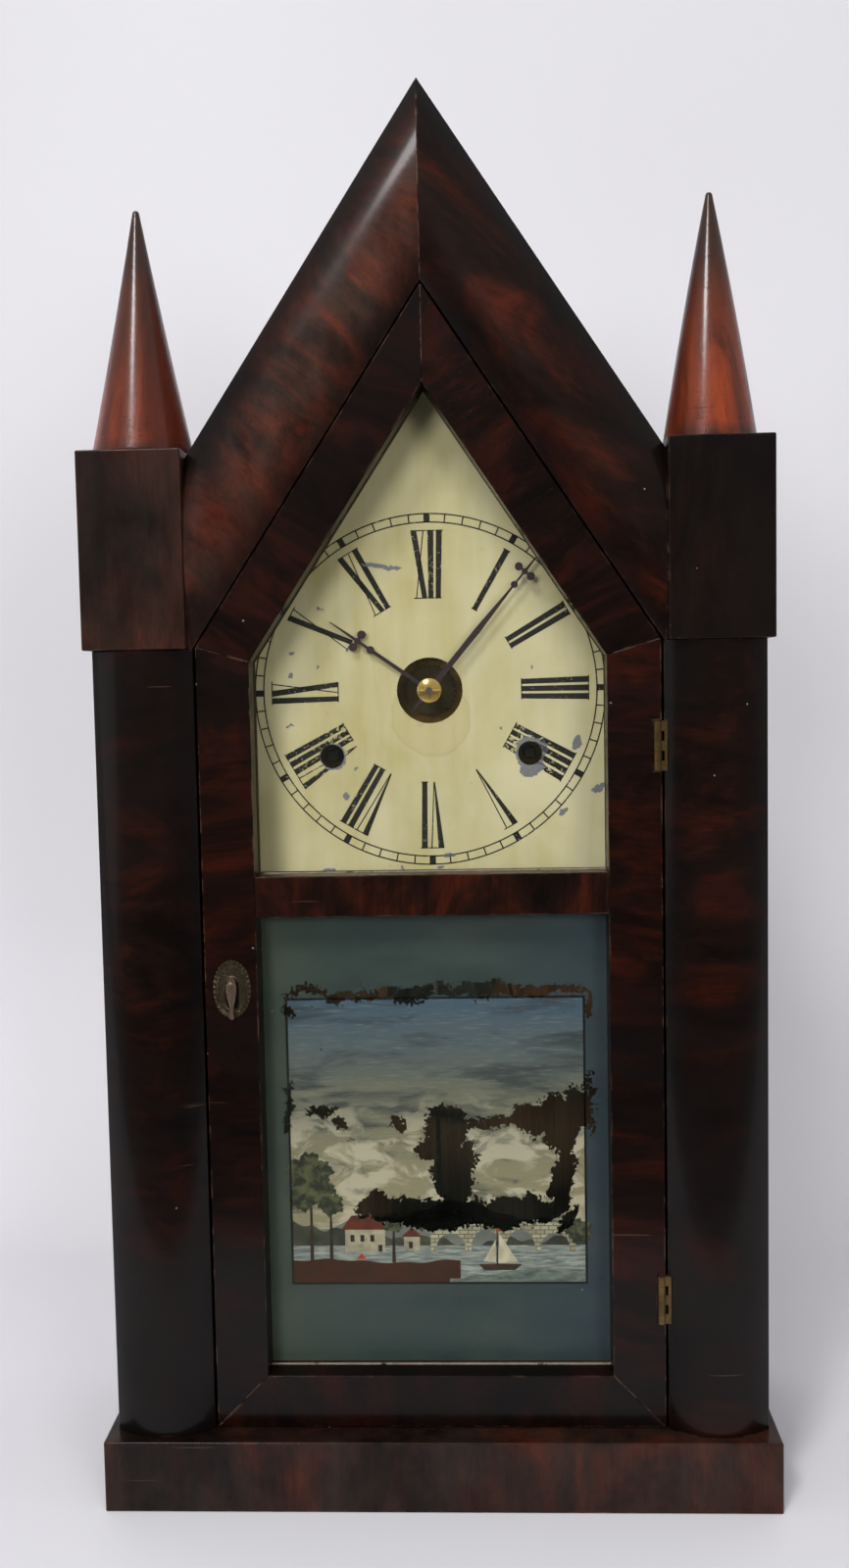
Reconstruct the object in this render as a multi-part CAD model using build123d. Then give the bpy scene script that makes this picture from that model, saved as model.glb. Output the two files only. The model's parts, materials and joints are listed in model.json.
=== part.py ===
from build123d import *
import os
from math import atan2, cos, degrees, dist, hypot, pi, radians, sin, sqrt

# A sharp-gabled steeple clock, spring driven, with a striking train and a pendulum.
# Millimetres. X is to the right of the dial, Y runs from the front to the back, Z is up.
# The origin is the middle of the base's underside.

os.makedirs("parts", exist_ok=True)

# Case, driving sizes
base_width = 246.0
base_depth = 105.0
base_height = 26.0
base_edge_radius = 0.8
base_floor = 12.0
front_ledge = 3.5
side_ledge = 3.3
board = 7.0
roof_board = 7.5
back_board = 8.0
column_width = 36.3
column_height = 287.5
gable_drop = 69.0
crown_rise = 6.5
frame_thickness = 16.3
column_backing = 6.0
stop_overlap = 5.4
overrun = 5.0

# Corner blocks and finials
block_height = 69.7
block_rise = 2.77
block_width = 36.9
block_depth = 48.0
block_stand = 1.0
block_setback = 1.0
block_edge_radius = 0.6
finial_height = 89.0
left_finial_radius = 18.4
left_finial_sag = 0.3
right_finial_radius = 16.8
right_finial_sag = -0.5
finial_tip_radius = 1.3
finial_foot = 1.6
finial_setback = 25.0
dowel_radius = 5.0
dowel_length = 14.0
glue_clearance = 0.03

# Door
door_gap = 0.9
door_bottom_gap = 0.5
door_top_gap = 0.6
door_thickness = 16.0
door_frame = 19.0
door_slope = 1.5115
closing_bevel = 2.0
bottom_rail_height = 19.5
mid_rail_height = 15.0
mid_rail_drop = 80.8
glass_setback = 9.5
glass_thickness = 2.0
glass_lap = 4.5
glass_clearance = 0.3
bead_width = 4.0

# Door hinges
hinge_length = 17.6
hinge_rise = 48.5
hinge_drop = 38.0
hinge_inset = 1.5
hinge_stand = 0.7
hinge_knuckles = 5
barrel_radius = 1.4
hinge_pin_radius = 0.7
leaf_thickness = 1.0
leaf_depth = 10.0
running_clearance = 0.05
knuckle_gap = 0.12
notch_clearance = 0.3

# Door latch and its plate
latch_inset = 9.8
latch_drop = 23.0
escutcheon_width = 14.0
escutcheon_height = 21.4
escutcheon_thickness = 1.1
escutcheon_drop = 2.6
escutcheon_rim = 1.1
lever_boss_radius = 2.5
lever_length = 13.0
lever_root_width = 2.6
lever_tip_width = 4.2
lever_thickness = 2.2
spindle_radius = 1.6
hook_length = 9.5
hook_width = 4.0
hook_thickness = 1.0
hook_clearance = 0.3

# Dial and its rails
hand_drop = 16.2
dial_setback = 34.7
dial_thickness = 0.8
dial_margin = 0.6
dial_lap = 5.5
dial_apex_drop = 15.0
dial_hole_radius = 12.25
winding_hole_radius = 4.5
rail_thickness = 8.0
rail_rise = 34.0
tack_head_radius = 1.7
tack_head = 0.7
tack_shank_radius = 0.6
tack_length = 7.0
tack_inset = 3.0
tack_rows = 3
tack_margin = 8.0

# Hands
minute_hand_length = 63.0
minute_hand_tail = 11.0
minute_cross_at = 54.0
minute_hand_angle = 39.9
hour_hand_length = 44.8
hour_cross_at = 31.0
hour_hand_angle = -54.6
hand_thickness = 0.8
hand_root_width = 4.6
hand_mid_width = 3.4
hand_tip_width = 1.0
hand_boss_radius = 5.2
cross_reach = 4.6
cross_arm = 2.0
cross_disc_radius = 1.75
hour_hand_stand = 2.2
hand_spacing = 1.8
washer_radius = 4.5
washer_thickness = 1.2
washer_dome_share = 0.8
taper_pin_radius = 0.5
taper_pin_length = 9.0
arbor_end = 3.2

# Movement frame
plate_thickness = 1.6
motion_space = 17.0
plate_half_width = 56.0
plate_top = 34.0
plate_bottom = 58.0
plate_corner = 6.0
pillar_radius = 2.5
pillar_tenon_radius = 1.5
pillar_tenon = 3.6
pillar_x = 44.0
pillar_low = 50.0
pillar_high = 27.0
nut_radius = 3.2
nut_thickness = 1.9
movement_rail_width = 16.0
movement_rail_depth = 6.9
movement_rail_outer = 58.0
movement_rail_margin = 6.0
screw_x = 50.5
screw_margin = 5.0
screw_head_radius = 3.0
screw_head = 1.6
screw_shank_radius = 1.3
screw_end_gap = 0.3
end_shake = 0.3
arbor_radius = 1.1
pivot_radius = 0.6

# Where the layers start in front of the back plate, as shares of the space between the plates
great_layer_share = 0.375
transfer_layer_share = 0.265
second_layer_share = 0.195
hammer_layer_share = 0.18
third_layer_share = 0.105

# Tooth forms, as shares of the tooth pitch
tip_height_share = 0.25
root_depth_share = 0.33
tip_half_share = 0.105
root_half_share = 0.255

# Going train and striking train, alike but for the last arbor
winding_x = 37.0
winding_drop = 24.0
winding_arbor_radius = 2.6
winding_square = 3.4
winding_square_length = 9.0
winding_end_gap = 1.5
great_module = 0.944
great_teeth = 48
second_pinion_leaves = 8
second_module = 0.608
second_teeth = 60
third_pinion_leaves = 6
third_module = 0.5104
third_teeth = 48
last_pinion_leaves = 6
wheel_thickness = 1.2
great_thickness = 1.4
wheel_arms = 4
arm_width = 2.2
rim_width = 2.2
great_eye_radius = 13.5
second_eye_radius = 4.5
third_eye_radius = 4.0
centre_eye_radius = 5.5
pinion_overlap = 0.7
take_off_teeth = 20
centre_teeth = 24
hub_radius = 2.4
hub_length = 1.0
going_second_angle = 176.8
going_third_angle = 252.0
escape_angle = 182.7
striking_second_angle = 72.3
striking_third_angle = 50.0
fly_angle = 20.0
fly_span = 17.0
fly_blade = 0.7
fly_clearance = 1.5
lifting_pins = 6
lifting_pin_radius = 0.6
lifting_pin_length = 1.8
lifting_pin_circle = 12.5
pin_rim = 6.6

# Ratchets and mainsprings
ratchet_radius = 7.0
ratchet_teeth = 14
ratchet_depth = 1.1
ratchet_thickness = 1.5
ratchet_gap = 0.5
click_length = 6.5
click_width = 3.0
click_clearance = 0.3
click_post_radius = 1.2
mainspring_radius = 20.0
mainspring_hub = 6.6
mainspring_front_gap = 1.5
mainspring_back_gap = 1.0
mainspring_gap = 0.4
mainspring_strip = 0.6
loop_clearance = 0.3

# Escapement and pendulum
escape_teeth = 42
escape_radius = 13.4
escape_tooth = 2.2
escape_thickness = 1.0
escape_stand = 1.8
pallet_half_angle = 48.8
pallet_clearance = 1.6
verge_strip = 1.1
verge_width = 2.2
verge_hub_radius = 2.2
verge_pin_radius = 1.0
crutch_radius = 0.6
crutch_length = 30.0
fork_length = 4.0
fork_width = 5.0
fork_clearance = 0.25
cock_width = 7.0
cock_thickness = 1.2
cock_reach = 19.5
cock_screw_radius = 1.6
pendulum_stand = 10.9
suspension_height = 8.0
suspension_width = 3.0
suspension_thickness = 0.2
suspension_rise = 1.0
post_radius = 2.0
post_head_half = 2.5
post_head_height = 7.5
post_slot_half = 0.4
clip_half = 1.2
clip_height = 4.0
pendulum_rod_radius = 0.9
bob_rise = 52.0
bob_radius = 20.0
bob_thickness = 9.0
bob_rim = 1.0
bob_bulge_share = 0.75
bob_neck_radius = 2.2
bob_neck_length = 2.0
bob_bore_depth = 7.0
rating_nut_radius = 3.0
rating_nut_thickness = 3.2

# Motion work under the dial
motion_module = 0.6
minute_pinion_leaves = 10
motion_wheel_teeth = 30
motion_pinion_leaves = 8
hour_wheel_teeth = 32
motion_angle = 60.0
motion_clearance = 1.0
motion_wheel_thickness = 1.6
motion_pinion_length = 3.6
hour_wheel_gap = 1.8
hour_wheel_thickness = 1.0
pipe_wall = 1.6
centre_arbor_radius = 1.5
centre_tip_radius = 1.2
stud_radius = 1.2
stud_end = 0.8

# Hammer and gong
hammer_x = -20.0
hammer_drop = 50.0
hammer_reach = 58.0
hammer_angle = 14.0
hammer_wire_radius = 0.9
hammer_head_radius = 3.6
hammer_head_length = 8.0
gong_turns = 4
gong_start_radius = 8.0
gong_pitch = 7.4
gong_strip = 1.4
gong_strip_depth = 3.0
gong_lead = 4.0
gong_drop = 24.0
stand_post_half = 2.6
stand_post_height = 4.5
stand_plate_width = 44.0
stand_plate_height = 30.0
stand_plate_thickness = 4.0

# Places worked out from the sizes above: the case
front_y = -base_depth / 2
back_y = base_depth / 2
crown_y = front_y + front_ledge
chord_y = crown_y + crown_rise
frame_back_y = chord_y + frame_thickness
column_back_y = frame_back_y + column_backing
back_board_y = back_y - back_board
case_half = base_width / 2 - side_ledge
column_inner = case_half - column_width
column_top = base_height + column_height
board_inner = case_half - board
block_inner = column_inner + block_setback
block_outer = block_inner + block_width
block_x = (block_inner + block_outer) / 2
block_front_y = crown_y - block_stand
block_back_y = block_front_y + block_depth
block_top = column_top + block_height
finial_y = block_front_y + finial_setback
slope_angle = atan2(door_slope, 1)
case_height = block_top - block_rise + door_slope * block_inner
moulding_width = gable_drop * cos(slope_angle) - door_top_gap
roof_inner_apex = case_height - roof_board / cos(slope_angle)

# The door, its hinges and its latch
hand_height = column_top - hand_drop
door_apex = case_height - gable_drop
door_half = column_inner - door_gap
door_shoulder = door_apex - door_slope * door_half
door_bottom = base_height + door_bottom_gap
door_back_y = chord_y + door_thickness
mid_rail_bottom = hand_height - mid_rail_drop
window_half = door_half - door_frame
window_apex = door_apex - door_frame / cos(slope_angle)
window_bottom = mid_rail_bottom + mid_rail_height
lower_window_bottom = door_bottom + bottom_rail_height
glass_y = chord_y + glass_setback
hinge_x = door_half - hinge_inset
hinge_y = chord_y - hinge_stand
hinge_heights = (door_bottom + hinge_rise, door_shoulder - hinge_drop)
latch_x = latch_inset - door_half
latch_height = mid_rail_bottom - latch_drop

# The dial and what stands behind it
dial_y = front_y + dial_setback
dial_back_y = dial_y + dial_thickness
dial_half_width = column_inner + dial_margin
dial_bottom = mid_rail_bottom + dial_lap
dial_apex = door_apex - dial_apex_drop
rail_inner = column_inner - stop_overlap
rail_bottom = base_height + rail_rise
plate_front_y = dial_back_y + motion_space
front_plate_face = plate_front_y - plate_thickness
back_plate_y = back_board_y - movement_rail_depth - plate_thickness
back_plate_end = back_plate_y + plate_thickness
plate_gap = back_plate_y - plate_front_y
great_y = back_plate_y - plate_gap * great_layer_share
transfer_y = back_plate_y - plate_gap * transfer_layer_share
second_y = back_plate_y - plate_gap * second_layer_share
hammer_y = back_plate_y - plate_gap * hammer_layer_share
third_y = back_plate_y - plate_gap * third_layer_share
mainspring_start = plate_front_y + mainspring_front_gap
mainspring_end = great_y - hub_length - mainspring_back_gap
screw_end = back_board_y - screw_end_gap
winding_height = hand_height - winding_drop
winding_end = dial_back_y + winding_end_gap
pendulum_y = front_plate_face - pendulum_stand
escape_y = front_plate_face - escape_stand - escape_thickness
verge_y = escape_y - (verge_width - escape_thickness) / 2
motion_y = front_plate_face - motion_clearance
hour_wheel_y = motion_y - motion_wheel_thickness - hour_wheel_gap
hour_hand_y = dial_y - hour_hand_stand - hand_thickness
minute_hand_y = hour_hand_y - hand_spacing - hand_thickness
bob_height = base_height + bob_rise
bob_neck_top = bob_height + bob_radius + bob_neck_length


def step_from(place, distance, angle):
    """The point that lies so far from a place, at an angle in degrees."""
    return (place[0] + distance * cos(radians(angle)), place[1] + distance * sin(radians(angle)))


def mesh_distance(module, wheel_teeth, pinion_teeth):
    return module * (wheel_teeth + pinion_teeth) / 2


great_distance = mesh_distance(great_module, great_teeth, second_pinion_leaves)
second_distance = mesh_distance(second_module, second_teeth, third_pinion_leaves)
third_distance = mesh_distance(third_module, third_teeth, last_pinion_leaves)

centre = (0.0, hand_height)
going_winding = (winding_x, winding_height)
going_second = step_from(going_winding, great_distance, going_second_angle)
going_third = step_from(going_second, second_distance, going_third_angle)
escape = step_from(going_third, third_distance, escape_angle)
striking_winding = (-winding_x, winding_height)
striking_second = step_from(striking_winding, great_distance, striking_second_angle)
striking_third = step_from(striking_second, second_distance, striking_third_angle)
fly = step_from(striking_third, third_distance, fly_angle)
transfer_distance = hypot(going_second[0] - centre[0], going_second[1] - centre[1])
transfer_module = 2 * transfer_distance / (take_off_teeth + centre_teeth)
motion_distance = mesh_distance(motion_module, minute_pinion_leaves, motion_wheel_teeth)
motion_stud = step_from(centre, motion_distance, motion_angle)
verge_span = escape_radius / cos(radians(pallet_half_angle))
verge_height = escape[1] + sqrt(verge_span ** 2 - escape[0] ** 2)
verge = (0.0, verge_height)
hammer_arbor = (hammer_x, hand_height - hammer_drop)
hammer_tip_height = hammer_arbor[1] - hammer_reach * cos(radians(hammer_angle))
gong_place = (0.0, hammer_tip_height - gong_drop)
pillar_places = [
    (side * pillar_x, hand_height + rise) for side in (-1, 1) for rise in (-pillar_low, pillar_high)
]
screw_places = [
    (side * screw_x, level)
    for side in (-1, 1)
    for level in (hand_height - plate_bottom + screw_margin, hand_height + plate_top - screw_margin)
]


# Helpers

def block_between(x0, x1, y0, y1, z0, z1):
    return Pos((x0 + x1) / 2, (y0 + y1) / 2, (z0 + z1) / 2) * Box(x1 - x0, y1 - y0, z1 - z0)


def from_front(shape, y0, y1):
    """Extrude a drawing of the front view, with X across and Z up, from y0 back to y1."""
    plane = Plane(origin=(0, y1, 0), x_dir=(1, 0, 0), z_dir=(0, -1, 0))
    return extrude(plane * shape, amount=y1 - y0)


def outline(points):
    return make_face(Polyline(*points, close=True))


def rod_along_y(place, radius, y0, y1):
    return from_front(Pos(*place) * Circle(radius), y0, y1)


def rod_between(start, end, radius):
    axis = Vector(*end) - Vector(*start)
    return extrude(Plane(origin=start, z_dir=axis.normalized()) * Circle(radius), amount=axis.length)


def other_side(shape):
    return mirror(shape, about=Plane.YZ)


def house(half_width, bottom, apex):
    """A front-view outline with upright sides and two sloping ones that meet at the apex."""
    shoulder = apex - door_slope * half_width
    return [
        (-half_width, bottom),
        (half_width, bottom),
        (half_width, shoulder),
        (0, apex),
        (-half_width, shoulder),
    ]


def crowned_section(inner, outer, back):
    """The rounded moulding's section: a shallow arc on a flat-backed strip."""
    middle = (inner + outer) / 2
    arc = ThreePointArc((inner, -chord_y), (middle, -crown_y), (outer, -chord_y))
    sides = Polyline((outer, -chord_y), (outer, -back), (inner, -back), (inner, -chord_y))
    return make_face(arc + sides)


# Case

def make_base():
    body = block_between(-base_width / 2, base_width / 2, front_y, back_y, 0, base_height)
    body = fillet(body.edges().filter_by(Axis.Z), base_edge_radius)
    body = fillet(body.faces().sort_by(Axis.Z)[-1].edges(), base_edge_radius)
    tray = block_between(
        -board_inner, board_inner, column_back_y, back_board_y, base_floor, base_height + overrun
    )
    return body - tray


def hinge_spans():
    """Low and high end of each knuckle of a hinge, seen from the hinge's middle."""
    pitch = hinge_length / hinge_knuckles
    return [
        (-hinge_length / 2 + index * pitch, -hinge_length / 2 + (index + 1) * pitch)
        for index in range(hinge_knuckles)
    ]


def case_leaf_pocket(height):
    return block_between(
        column_inner - overrun,
        column_inner + leaf_thickness,
        chord_y - overrun,
        hinge_y + leaf_depth,
        height - hinge_length / 2,
        height + hinge_length / 2,
    )


def make_right_column():
    section = mirror(crowned_section(column_inner, case_half, frame_back_y), about=Plane.XZ)
    shaft = extrude(Pos(0, 0, base_height) * section, amount=column_height)
    backing = block_between(
        column_inner - stop_overlap, case_half, frame_back_y, column_back_y, base_height, column_top
    )
    return shaft + backing


def make_right_moulding():
    start = Vector(0, 0, door_apex + door_top_gap / cos(slope_angle))
    down = Vector(cos(slope_angle), 0, -sin(slope_angle))
    outward = Vector(sin(slope_angle), 0, cos(slope_angle))
    section = crowned_section(0, moulding_width, frame_back_y)
    bar = extrude(Plane(origin=start, x_dir=outward, z_dir=down) * section, amount=case_height, both=True)
    half = block_between(0, block_inner, crown_y - overrun, frame_back_y, column_top, case_height)
    return bar & half


def block_space():
    return block_between(block_inner, block_outer, block_front_y, block_back_y, column_top, block_top)


def make_right_block():
    body = fillet(block_space().edges(), block_edge_radius)
    bore = Pos(block_x, finial_y, block_top - dowel_length - glue_clearance) * Cylinder(
        dowel_radius + glue_clearance,
        dowel_length + overrun,
        align=(Align.CENTER, Align.CENTER, Align.MIN),
    )
    return body - bore


def make_finial(radius, sag):
    """A turned spire with a blunt tip, whose flank sags or swells by the sag at its middle."""
    foot = block_top + finial_foot
    shoulder = block_top + finial_height - finial_tip_radius
    flank = ThreePointArc(
        (radius, foot),
        ((radius + finial_tip_radius) / 2 - sag, (foot + shoulder) / 2),
        (finial_tip_radius, shoulder),
    )
    tip = ThreePointArc(
        (finial_tip_radius, shoulder),
        (finial_tip_radius * cos(pi / 4), shoulder + finial_tip_radius * sin(pi / 4)),
        (0, block_top + finial_height),
    )
    rest = Polyline(
        (0, block_top + finial_height),
        (0, block_top - dowel_length),
        (dowel_radius, block_top - dowel_length),
        (dowel_radius, block_top),
        (radius, block_top),
        (radius, foot),
    )
    profile = make_face(flank + tip + rest)
    return Pos(block_x, finial_y, 0) * revolve(Plane.XZ * profile, axis=Axis.Z)


def make_right_roof_board():
    eave = case_height - door_slope * case_half
    inner_eave = roof_inner_apex - door_slope * case_half
    body = from_front(
        outline([(0, case_height), (case_half, eave), (case_half, inner_eave), (0, roof_inner_apex)]),
        frame_back_y,
        back_y,
    )
    return body - block_space()


def make_right_side_board():
    body = from_front(
        outline([
            (board_inner, base_height),
            (case_half, base_height),
            (case_half, roof_inner_apex - door_slope * case_half),
            (board_inner, roof_inner_apex - door_slope * board_inner),
        ]),
        column_back_y,
        back_y,
    )
    return body - block_space()


def make_back_board():
    return from_front(outline(house(board_inner, base_height, roof_inner_apex)), back_board_y, back_y)


def tack_places():
    top = dial_apex - door_slope * dial_half_width - tack_margin
    low = dial_bottom + tack_margin
    step = (top - low) / (tack_rows - 1)
    across = dial_half_width - tack_inset
    return [(side * across, low + row * step) for side in (-1, 1) for row in range(tack_rows)]


def make_dial_rails():
    right = block_between(
        rail_inner, board_inner, dial_back_y, dial_back_y + rail_thickness, rail_bottom, column_top
    )
    rails = right + other_side(right)
    for place in tack_places():
        rails -= rod_along_y(
            place, tack_shank_radius + glue_clearance, dial_back_y - overrun, dial_y + tack_length
        )
    return rails


def make_dial():
    sheet = outline(house(dial_half_width, dial_bottom, dial_apex))
    sheet -= Pos(*centre) * Circle(dial_hole_radius)
    for place in (going_winding, striking_winding):
        sheet -= Pos(*place) * Circle(winding_hole_radius)
    for place in tack_places():
        sheet -= Pos(*place) * Circle(tack_shank_radius + glue_clearance)
    return from_front(sheet, dial_y, dial_back_y)


def make_dial_tacks():
    tacks = []
    for place in tack_places():
        head = rod_along_y(place, tack_head_radius, dial_y - tack_head, dial_y)
        shank = rod_along_y(place, tack_shank_radius, dial_y - tack_head, dial_y + tack_length)
        tacks.append(head + shank)
    return Compound(children=tacks)


# Door

def door_envelope():
    """The whole door as one solid, its closing edge and its slopes bevelled towards the back."""
    inset = closing_bevel / cos(slope_angle)
    front = [
        (-door_half, door_bottom),
        (door_half, door_bottom),
        (door_half, door_shoulder),
        (0, door_apex),
        (-door_half, door_shoulder),
    ]
    left = -door_half + closing_bevel
    rear = [
        (left, door_bottom),
        (door_half, door_bottom),
        (door_half, door_shoulder - inset),
        (0, door_apex - inset),
        (left, door_apex - inset + door_slope * left),
    ]
    faces = [
        Plane(origin=(0, y, 0), x_dir=(1, 0, 0), z_dir=(0, -1, 0)) * outline(points)
        for y, points in ((chord_y, front), (door_back_y, rear))
    ]
    return loft(faces, ruled=True)


def glass_pockets():
    lap_rise = glass_lap / cos(slope_angle)
    upper = outline(house(window_half + glass_lap, window_bottom - glass_lap, window_apex + lap_rise))
    lower = lower_opening(glass_lap)
    return from_front(upper, glass_y, door_back_y + overrun) + from_front(
        lower, glass_y, door_back_y + overrun
    )


def lower_opening(growth):
    half = window_half + growth
    low = lower_window_bottom - growth
    high = mid_rail_bottom + growth
    return outline([(-half, low), (half, low), (half, high), (-half, high)])


def door_member(points):
    bar = from_front(outline(points), chord_y - overrun, door_back_y + overrun)
    return (bar & door_envelope()) - glass_pockets()


def stile_points():
    window_shoulder = window_apex - door_slope * window_half
    return [
        (window_half, lower_window_bottom),
        (door_half, door_bottom),
        (door_half, door_shoulder),
        (window_half, window_shoulder),
    ]


def mirrored_points(points):
    return [(-x, z) for x, z in points]


def door_leaf_pocket(height):
    """The stile's corner cut for the barrel, and the bed of the leaf in its edge."""
    low = height - hinge_length / 2 - notch_clearance
    high = height + hinge_length / 2 + notch_clearance
    barrel = Pos(hinge_x, hinge_y, low) * Cylinder(
        barrel_radius + notch_clearance, high - low, align=(Align.CENTER, Align.CENTER, Align.MIN)
    )
    bed = block_between(
        door_half - leaf_thickness,
        door_half + overrun,
        chord_y - overrun,
        hinge_y + leaf_depth,
        low,
        high,
    )
    return barrel + bed


def make_right_stile():
    stile = door_member(stile_points())
    for height in hinge_heights:
        stile -= door_leaf_pocket(height)
    return stile


def make_left_stile():
    stile = door_member(mirrored_points(stile_points()))
    return stile - rod_along_y(
        (latch_x, latch_height),
        spindle_radius + running_clearance,
        chord_y - overrun,
        door_back_y + overrun,
    )


def rafter_points():
    window_shoulder = window_apex - door_slope * window_half
    return [(door_half, door_shoulder), (0, door_apex), (0, window_apex), (window_half, window_shoulder)]


def make_bottom_rail():
    return door_member([
        (-door_half, door_bottom),
        (door_half, door_bottom),
        (window_half, lower_window_bottom),
        (-window_half, lower_window_bottom),
    ])


def make_mid_rail():
    return door_member([
        (-window_half, mid_rail_bottom),
        (window_half, mid_rail_bottom),
        (window_half, window_bottom),
        (-window_half, window_bottom),
    ])


def upper_glass_face(shrink):
    """The upper pane's outline, drawn in by so much on every side."""
    grow = glass_lap - glass_clearance - shrink
    return outline(house(window_half + grow, window_bottom - grow, window_apex + grow / cos(slope_angle)))


def make_upper_glass():
    return from_front(upper_glass_face(0), glass_y, glass_y + glass_thickness)


def make_tablet():
    return from_front(
        lower_opening(glass_lap - glass_clearance), glass_y, glass_y + glass_thickness
    )


def make_glazing_beads():
    upper = upper_glass_face(0) - upper_glass_face(bead_width)
    lower = lower_opening(glass_lap - glass_clearance)
    lower -= lower_opening(glass_lap - glass_clearance - bead_width)
    return Compound(children=[
        from_front(ring, glass_y + glass_thickness, door_back_y) for ring in (upper, lower)
    ])


def on_hinge_axis(height, radius, low, high):
    return Pos(hinge_x, hinge_y, height + low) * Cylinder(
        radius, high - low, align=(Align.CENTER, Align.CENTER, Align.MIN)
    )


def make_door_leaf(height):
    half = hinge_length / 2
    leaf = block_between(
        door_half - leaf_thickness, door_half, hinge_y, hinge_y + leaf_depth, height - half, height + half
    )
    spans = hinge_spans()
    for index, (low, high) in enumerate(spans):
        if index % 2:
            leaf += on_hinge_axis(height, barrel_radius, low + knuckle_gap, high - knuckle_gap)
        else:
            leaf -= on_hinge_axis(height, barrel_radius + notch_clearance, low, high)
    return leaf - on_hinge_axis(height, hinge_pin_radius + running_clearance, -half, half)


def make_case_leaf(height):
    half = hinge_length / 2
    leaf = block_between(
        column_inner,
        column_inner + leaf_thickness,
        hinge_y - leaf_thickness / 2,
        hinge_y + leaf_depth,
        height - half,
        height + half,
    )
    leaf += on_hinge_axis(height, hinge_pin_radius, -half, half)
    for index, (low, high) in enumerate(hinge_spans()):
        if index % 2 == 0:
            leaf += on_hinge_axis(height, barrel_radius, low, high)
            leaf += block_between(
                hinge_x,
                column_inner + leaf_thickness,
                hinge_y - leaf_thickness / 2,
                hinge_y + leaf_thickness / 2,
                height + low,
                height + high,
            )
    return leaf


def make_escutcheon():
    place = (latch_x, latch_height - escutcheon_drop)
    across = escutcheon_width / 2
    upright = escutcheon_height / 2
    oval = Pos(*place) * Ellipse(across, upright)
    inner = Pos(*place) * Ellipse(across - escutcheon_rim, upright - escutcheon_rim)
    hole = Pos(latch_x, latch_height) * Circle(spindle_radius + running_clearance)
    rim = from_front(oval - inner, chord_y - escutcheon_thickness, chord_y)
    plate = from_front(inner - hole, chord_y - escutcheon_thickness / 2, chord_y)
    return rim + plate


def make_latch_lever():
    front = chord_y - escutcheon_thickness - running_clearance
    boss = rod_along_y((latch_x, latch_height), lever_boss_radius, front - lever_thickness, front)
    drop = from_front(
        outline([
            (latch_x - lever_root_width / 2, latch_height),
            (latch_x + lever_root_width / 2, latch_height),
            (latch_x + lever_tip_width / 2, latch_height - lever_length),
            (latch_x - lever_tip_width / 2, latch_height - lever_length),
        ]),
        front - lever_thickness,
        front,
    )
    hook_front = column_back_y + hook_clearance
    hook_back = hook_front + hook_thickness
    spindle = rod_along_y((latch_x, latch_height), spindle_radius, front - lever_thickness, hook_back)
    hook = from_front(
        Pos(latch_x, latch_height + hook_length / 2) * Rectangle(hook_width, hook_length),
        hook_front,
        hook_back,
    )
    return boss + drop + spindle + hook


# Wheels

def openings_between_arms(eye, reach):
    """The spaces between a wheel's arms, from its eye out to its rim."""
    spaces = Circle(reach) - Circle(eye)
    for index in range(wheel_arms):
        spaces -= Rot(0, 0, 360 * index / wheel_arms) * Pos(reach / 2, 0) * Rectangle(reach, arm_width)
    return spaces


def toothed_outline(teeth, module, phase):
    """Straight-sided teeth round a circle; the phase is one tooth's angle in radians."""
    pitch = pi * module
    radius = module * teeth / 2
    tip = radius + tip_height_share * pitch
    root = radius - root_depth_share * pitch
    tip_half = tip_half_share * pitch / tip
    root_half = root_half_share * pitch / root
    points = []
    for index in range(teeth):
        angle = phase + 2 * pi * index / teeth
        for reach, turn in ((root, -root_half), (tip, -tip_half), (tip, tip_half), (root, root_half)):
            points.append((reach * cos(angle + turn), reach * sin(angle + turn)))
    return outline(points)


def meeting_phase(from_place, to_place, teeth, other_teeth, phase=0.0):
    """The phase at which a second wheel's gap takes the first wheel's tooth."""
    angle = atan2(to_place[1] - from_place[1], to_place[0] - from_place[0])
    turn = (angle - phase) % (2 * pi / teeth)
    return angle + pi + pi / other_teeth + turn * teeth / other_teeth


def toothed_wheel(place, teeth, module, y0, y1, phase=0.0, eye=None, rim=rim_width):
    """A wheel with straight-sided teeth, and with arms if its eye is given."""
    drawing = toothed_outline(teeth, module, phase)
    if eye:
        root = module * (teeth / 2 - root_depth_share * pi)
        drawing -= openings_between_arms(eye, root - rim)
    return from_front(Pos(*place) * drawing, y0, y1)


def arbor_with_pivots(place, front=None, radius=arbor_radius):
    """An arbor between the plates with a pivot in each; a front value carries it on through."""
    back = back_plate_y - end_shake
    body = rod_along_y(place, radius, plate_front_y + end_shake if front is None else front, back)
    body += rod_along_y(place, pivot_radius, back, back_plate_end)
    if front is None:
        body += rod_along_y(place, pivot_radius, front_plate_face, plate_front_y + end_shake)
    return body


def make_great_wheel(place):
    wheel = toothed_wheel(
        place, great_teeth, great_module, great_y, great_y + great_thickness, eye=great_eye_radius
    )
    hub = rod_along_y(place, winding_arbor_radius + hub_radius, great_y - hub_length, great_y)
    bore = rod_along_y(
        place, winding_arbor_radius + running_clearance, great_y - overrun, great_y + overrun
    )
    ratchet_y = great_y + great_thickness + ratchet_gap
    nose = (place[0], place[1] + ratchet_radius + click_clearance + click_width / 2)
    tail = (place[0] + click_length, nose[1])
    click = from_front(
        Pos((nose[0] + tail[0]) / 2, nose[1]) * SlotOverall(click_length + click_width, click_width),
        ratchet_y,
        ratchet_y + ratchet_thickness,
    )
    post = rod_along_y(tail, click_post_radius, great_y, ratchet_y)
    return wheel + hub + click + post - bore


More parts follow.
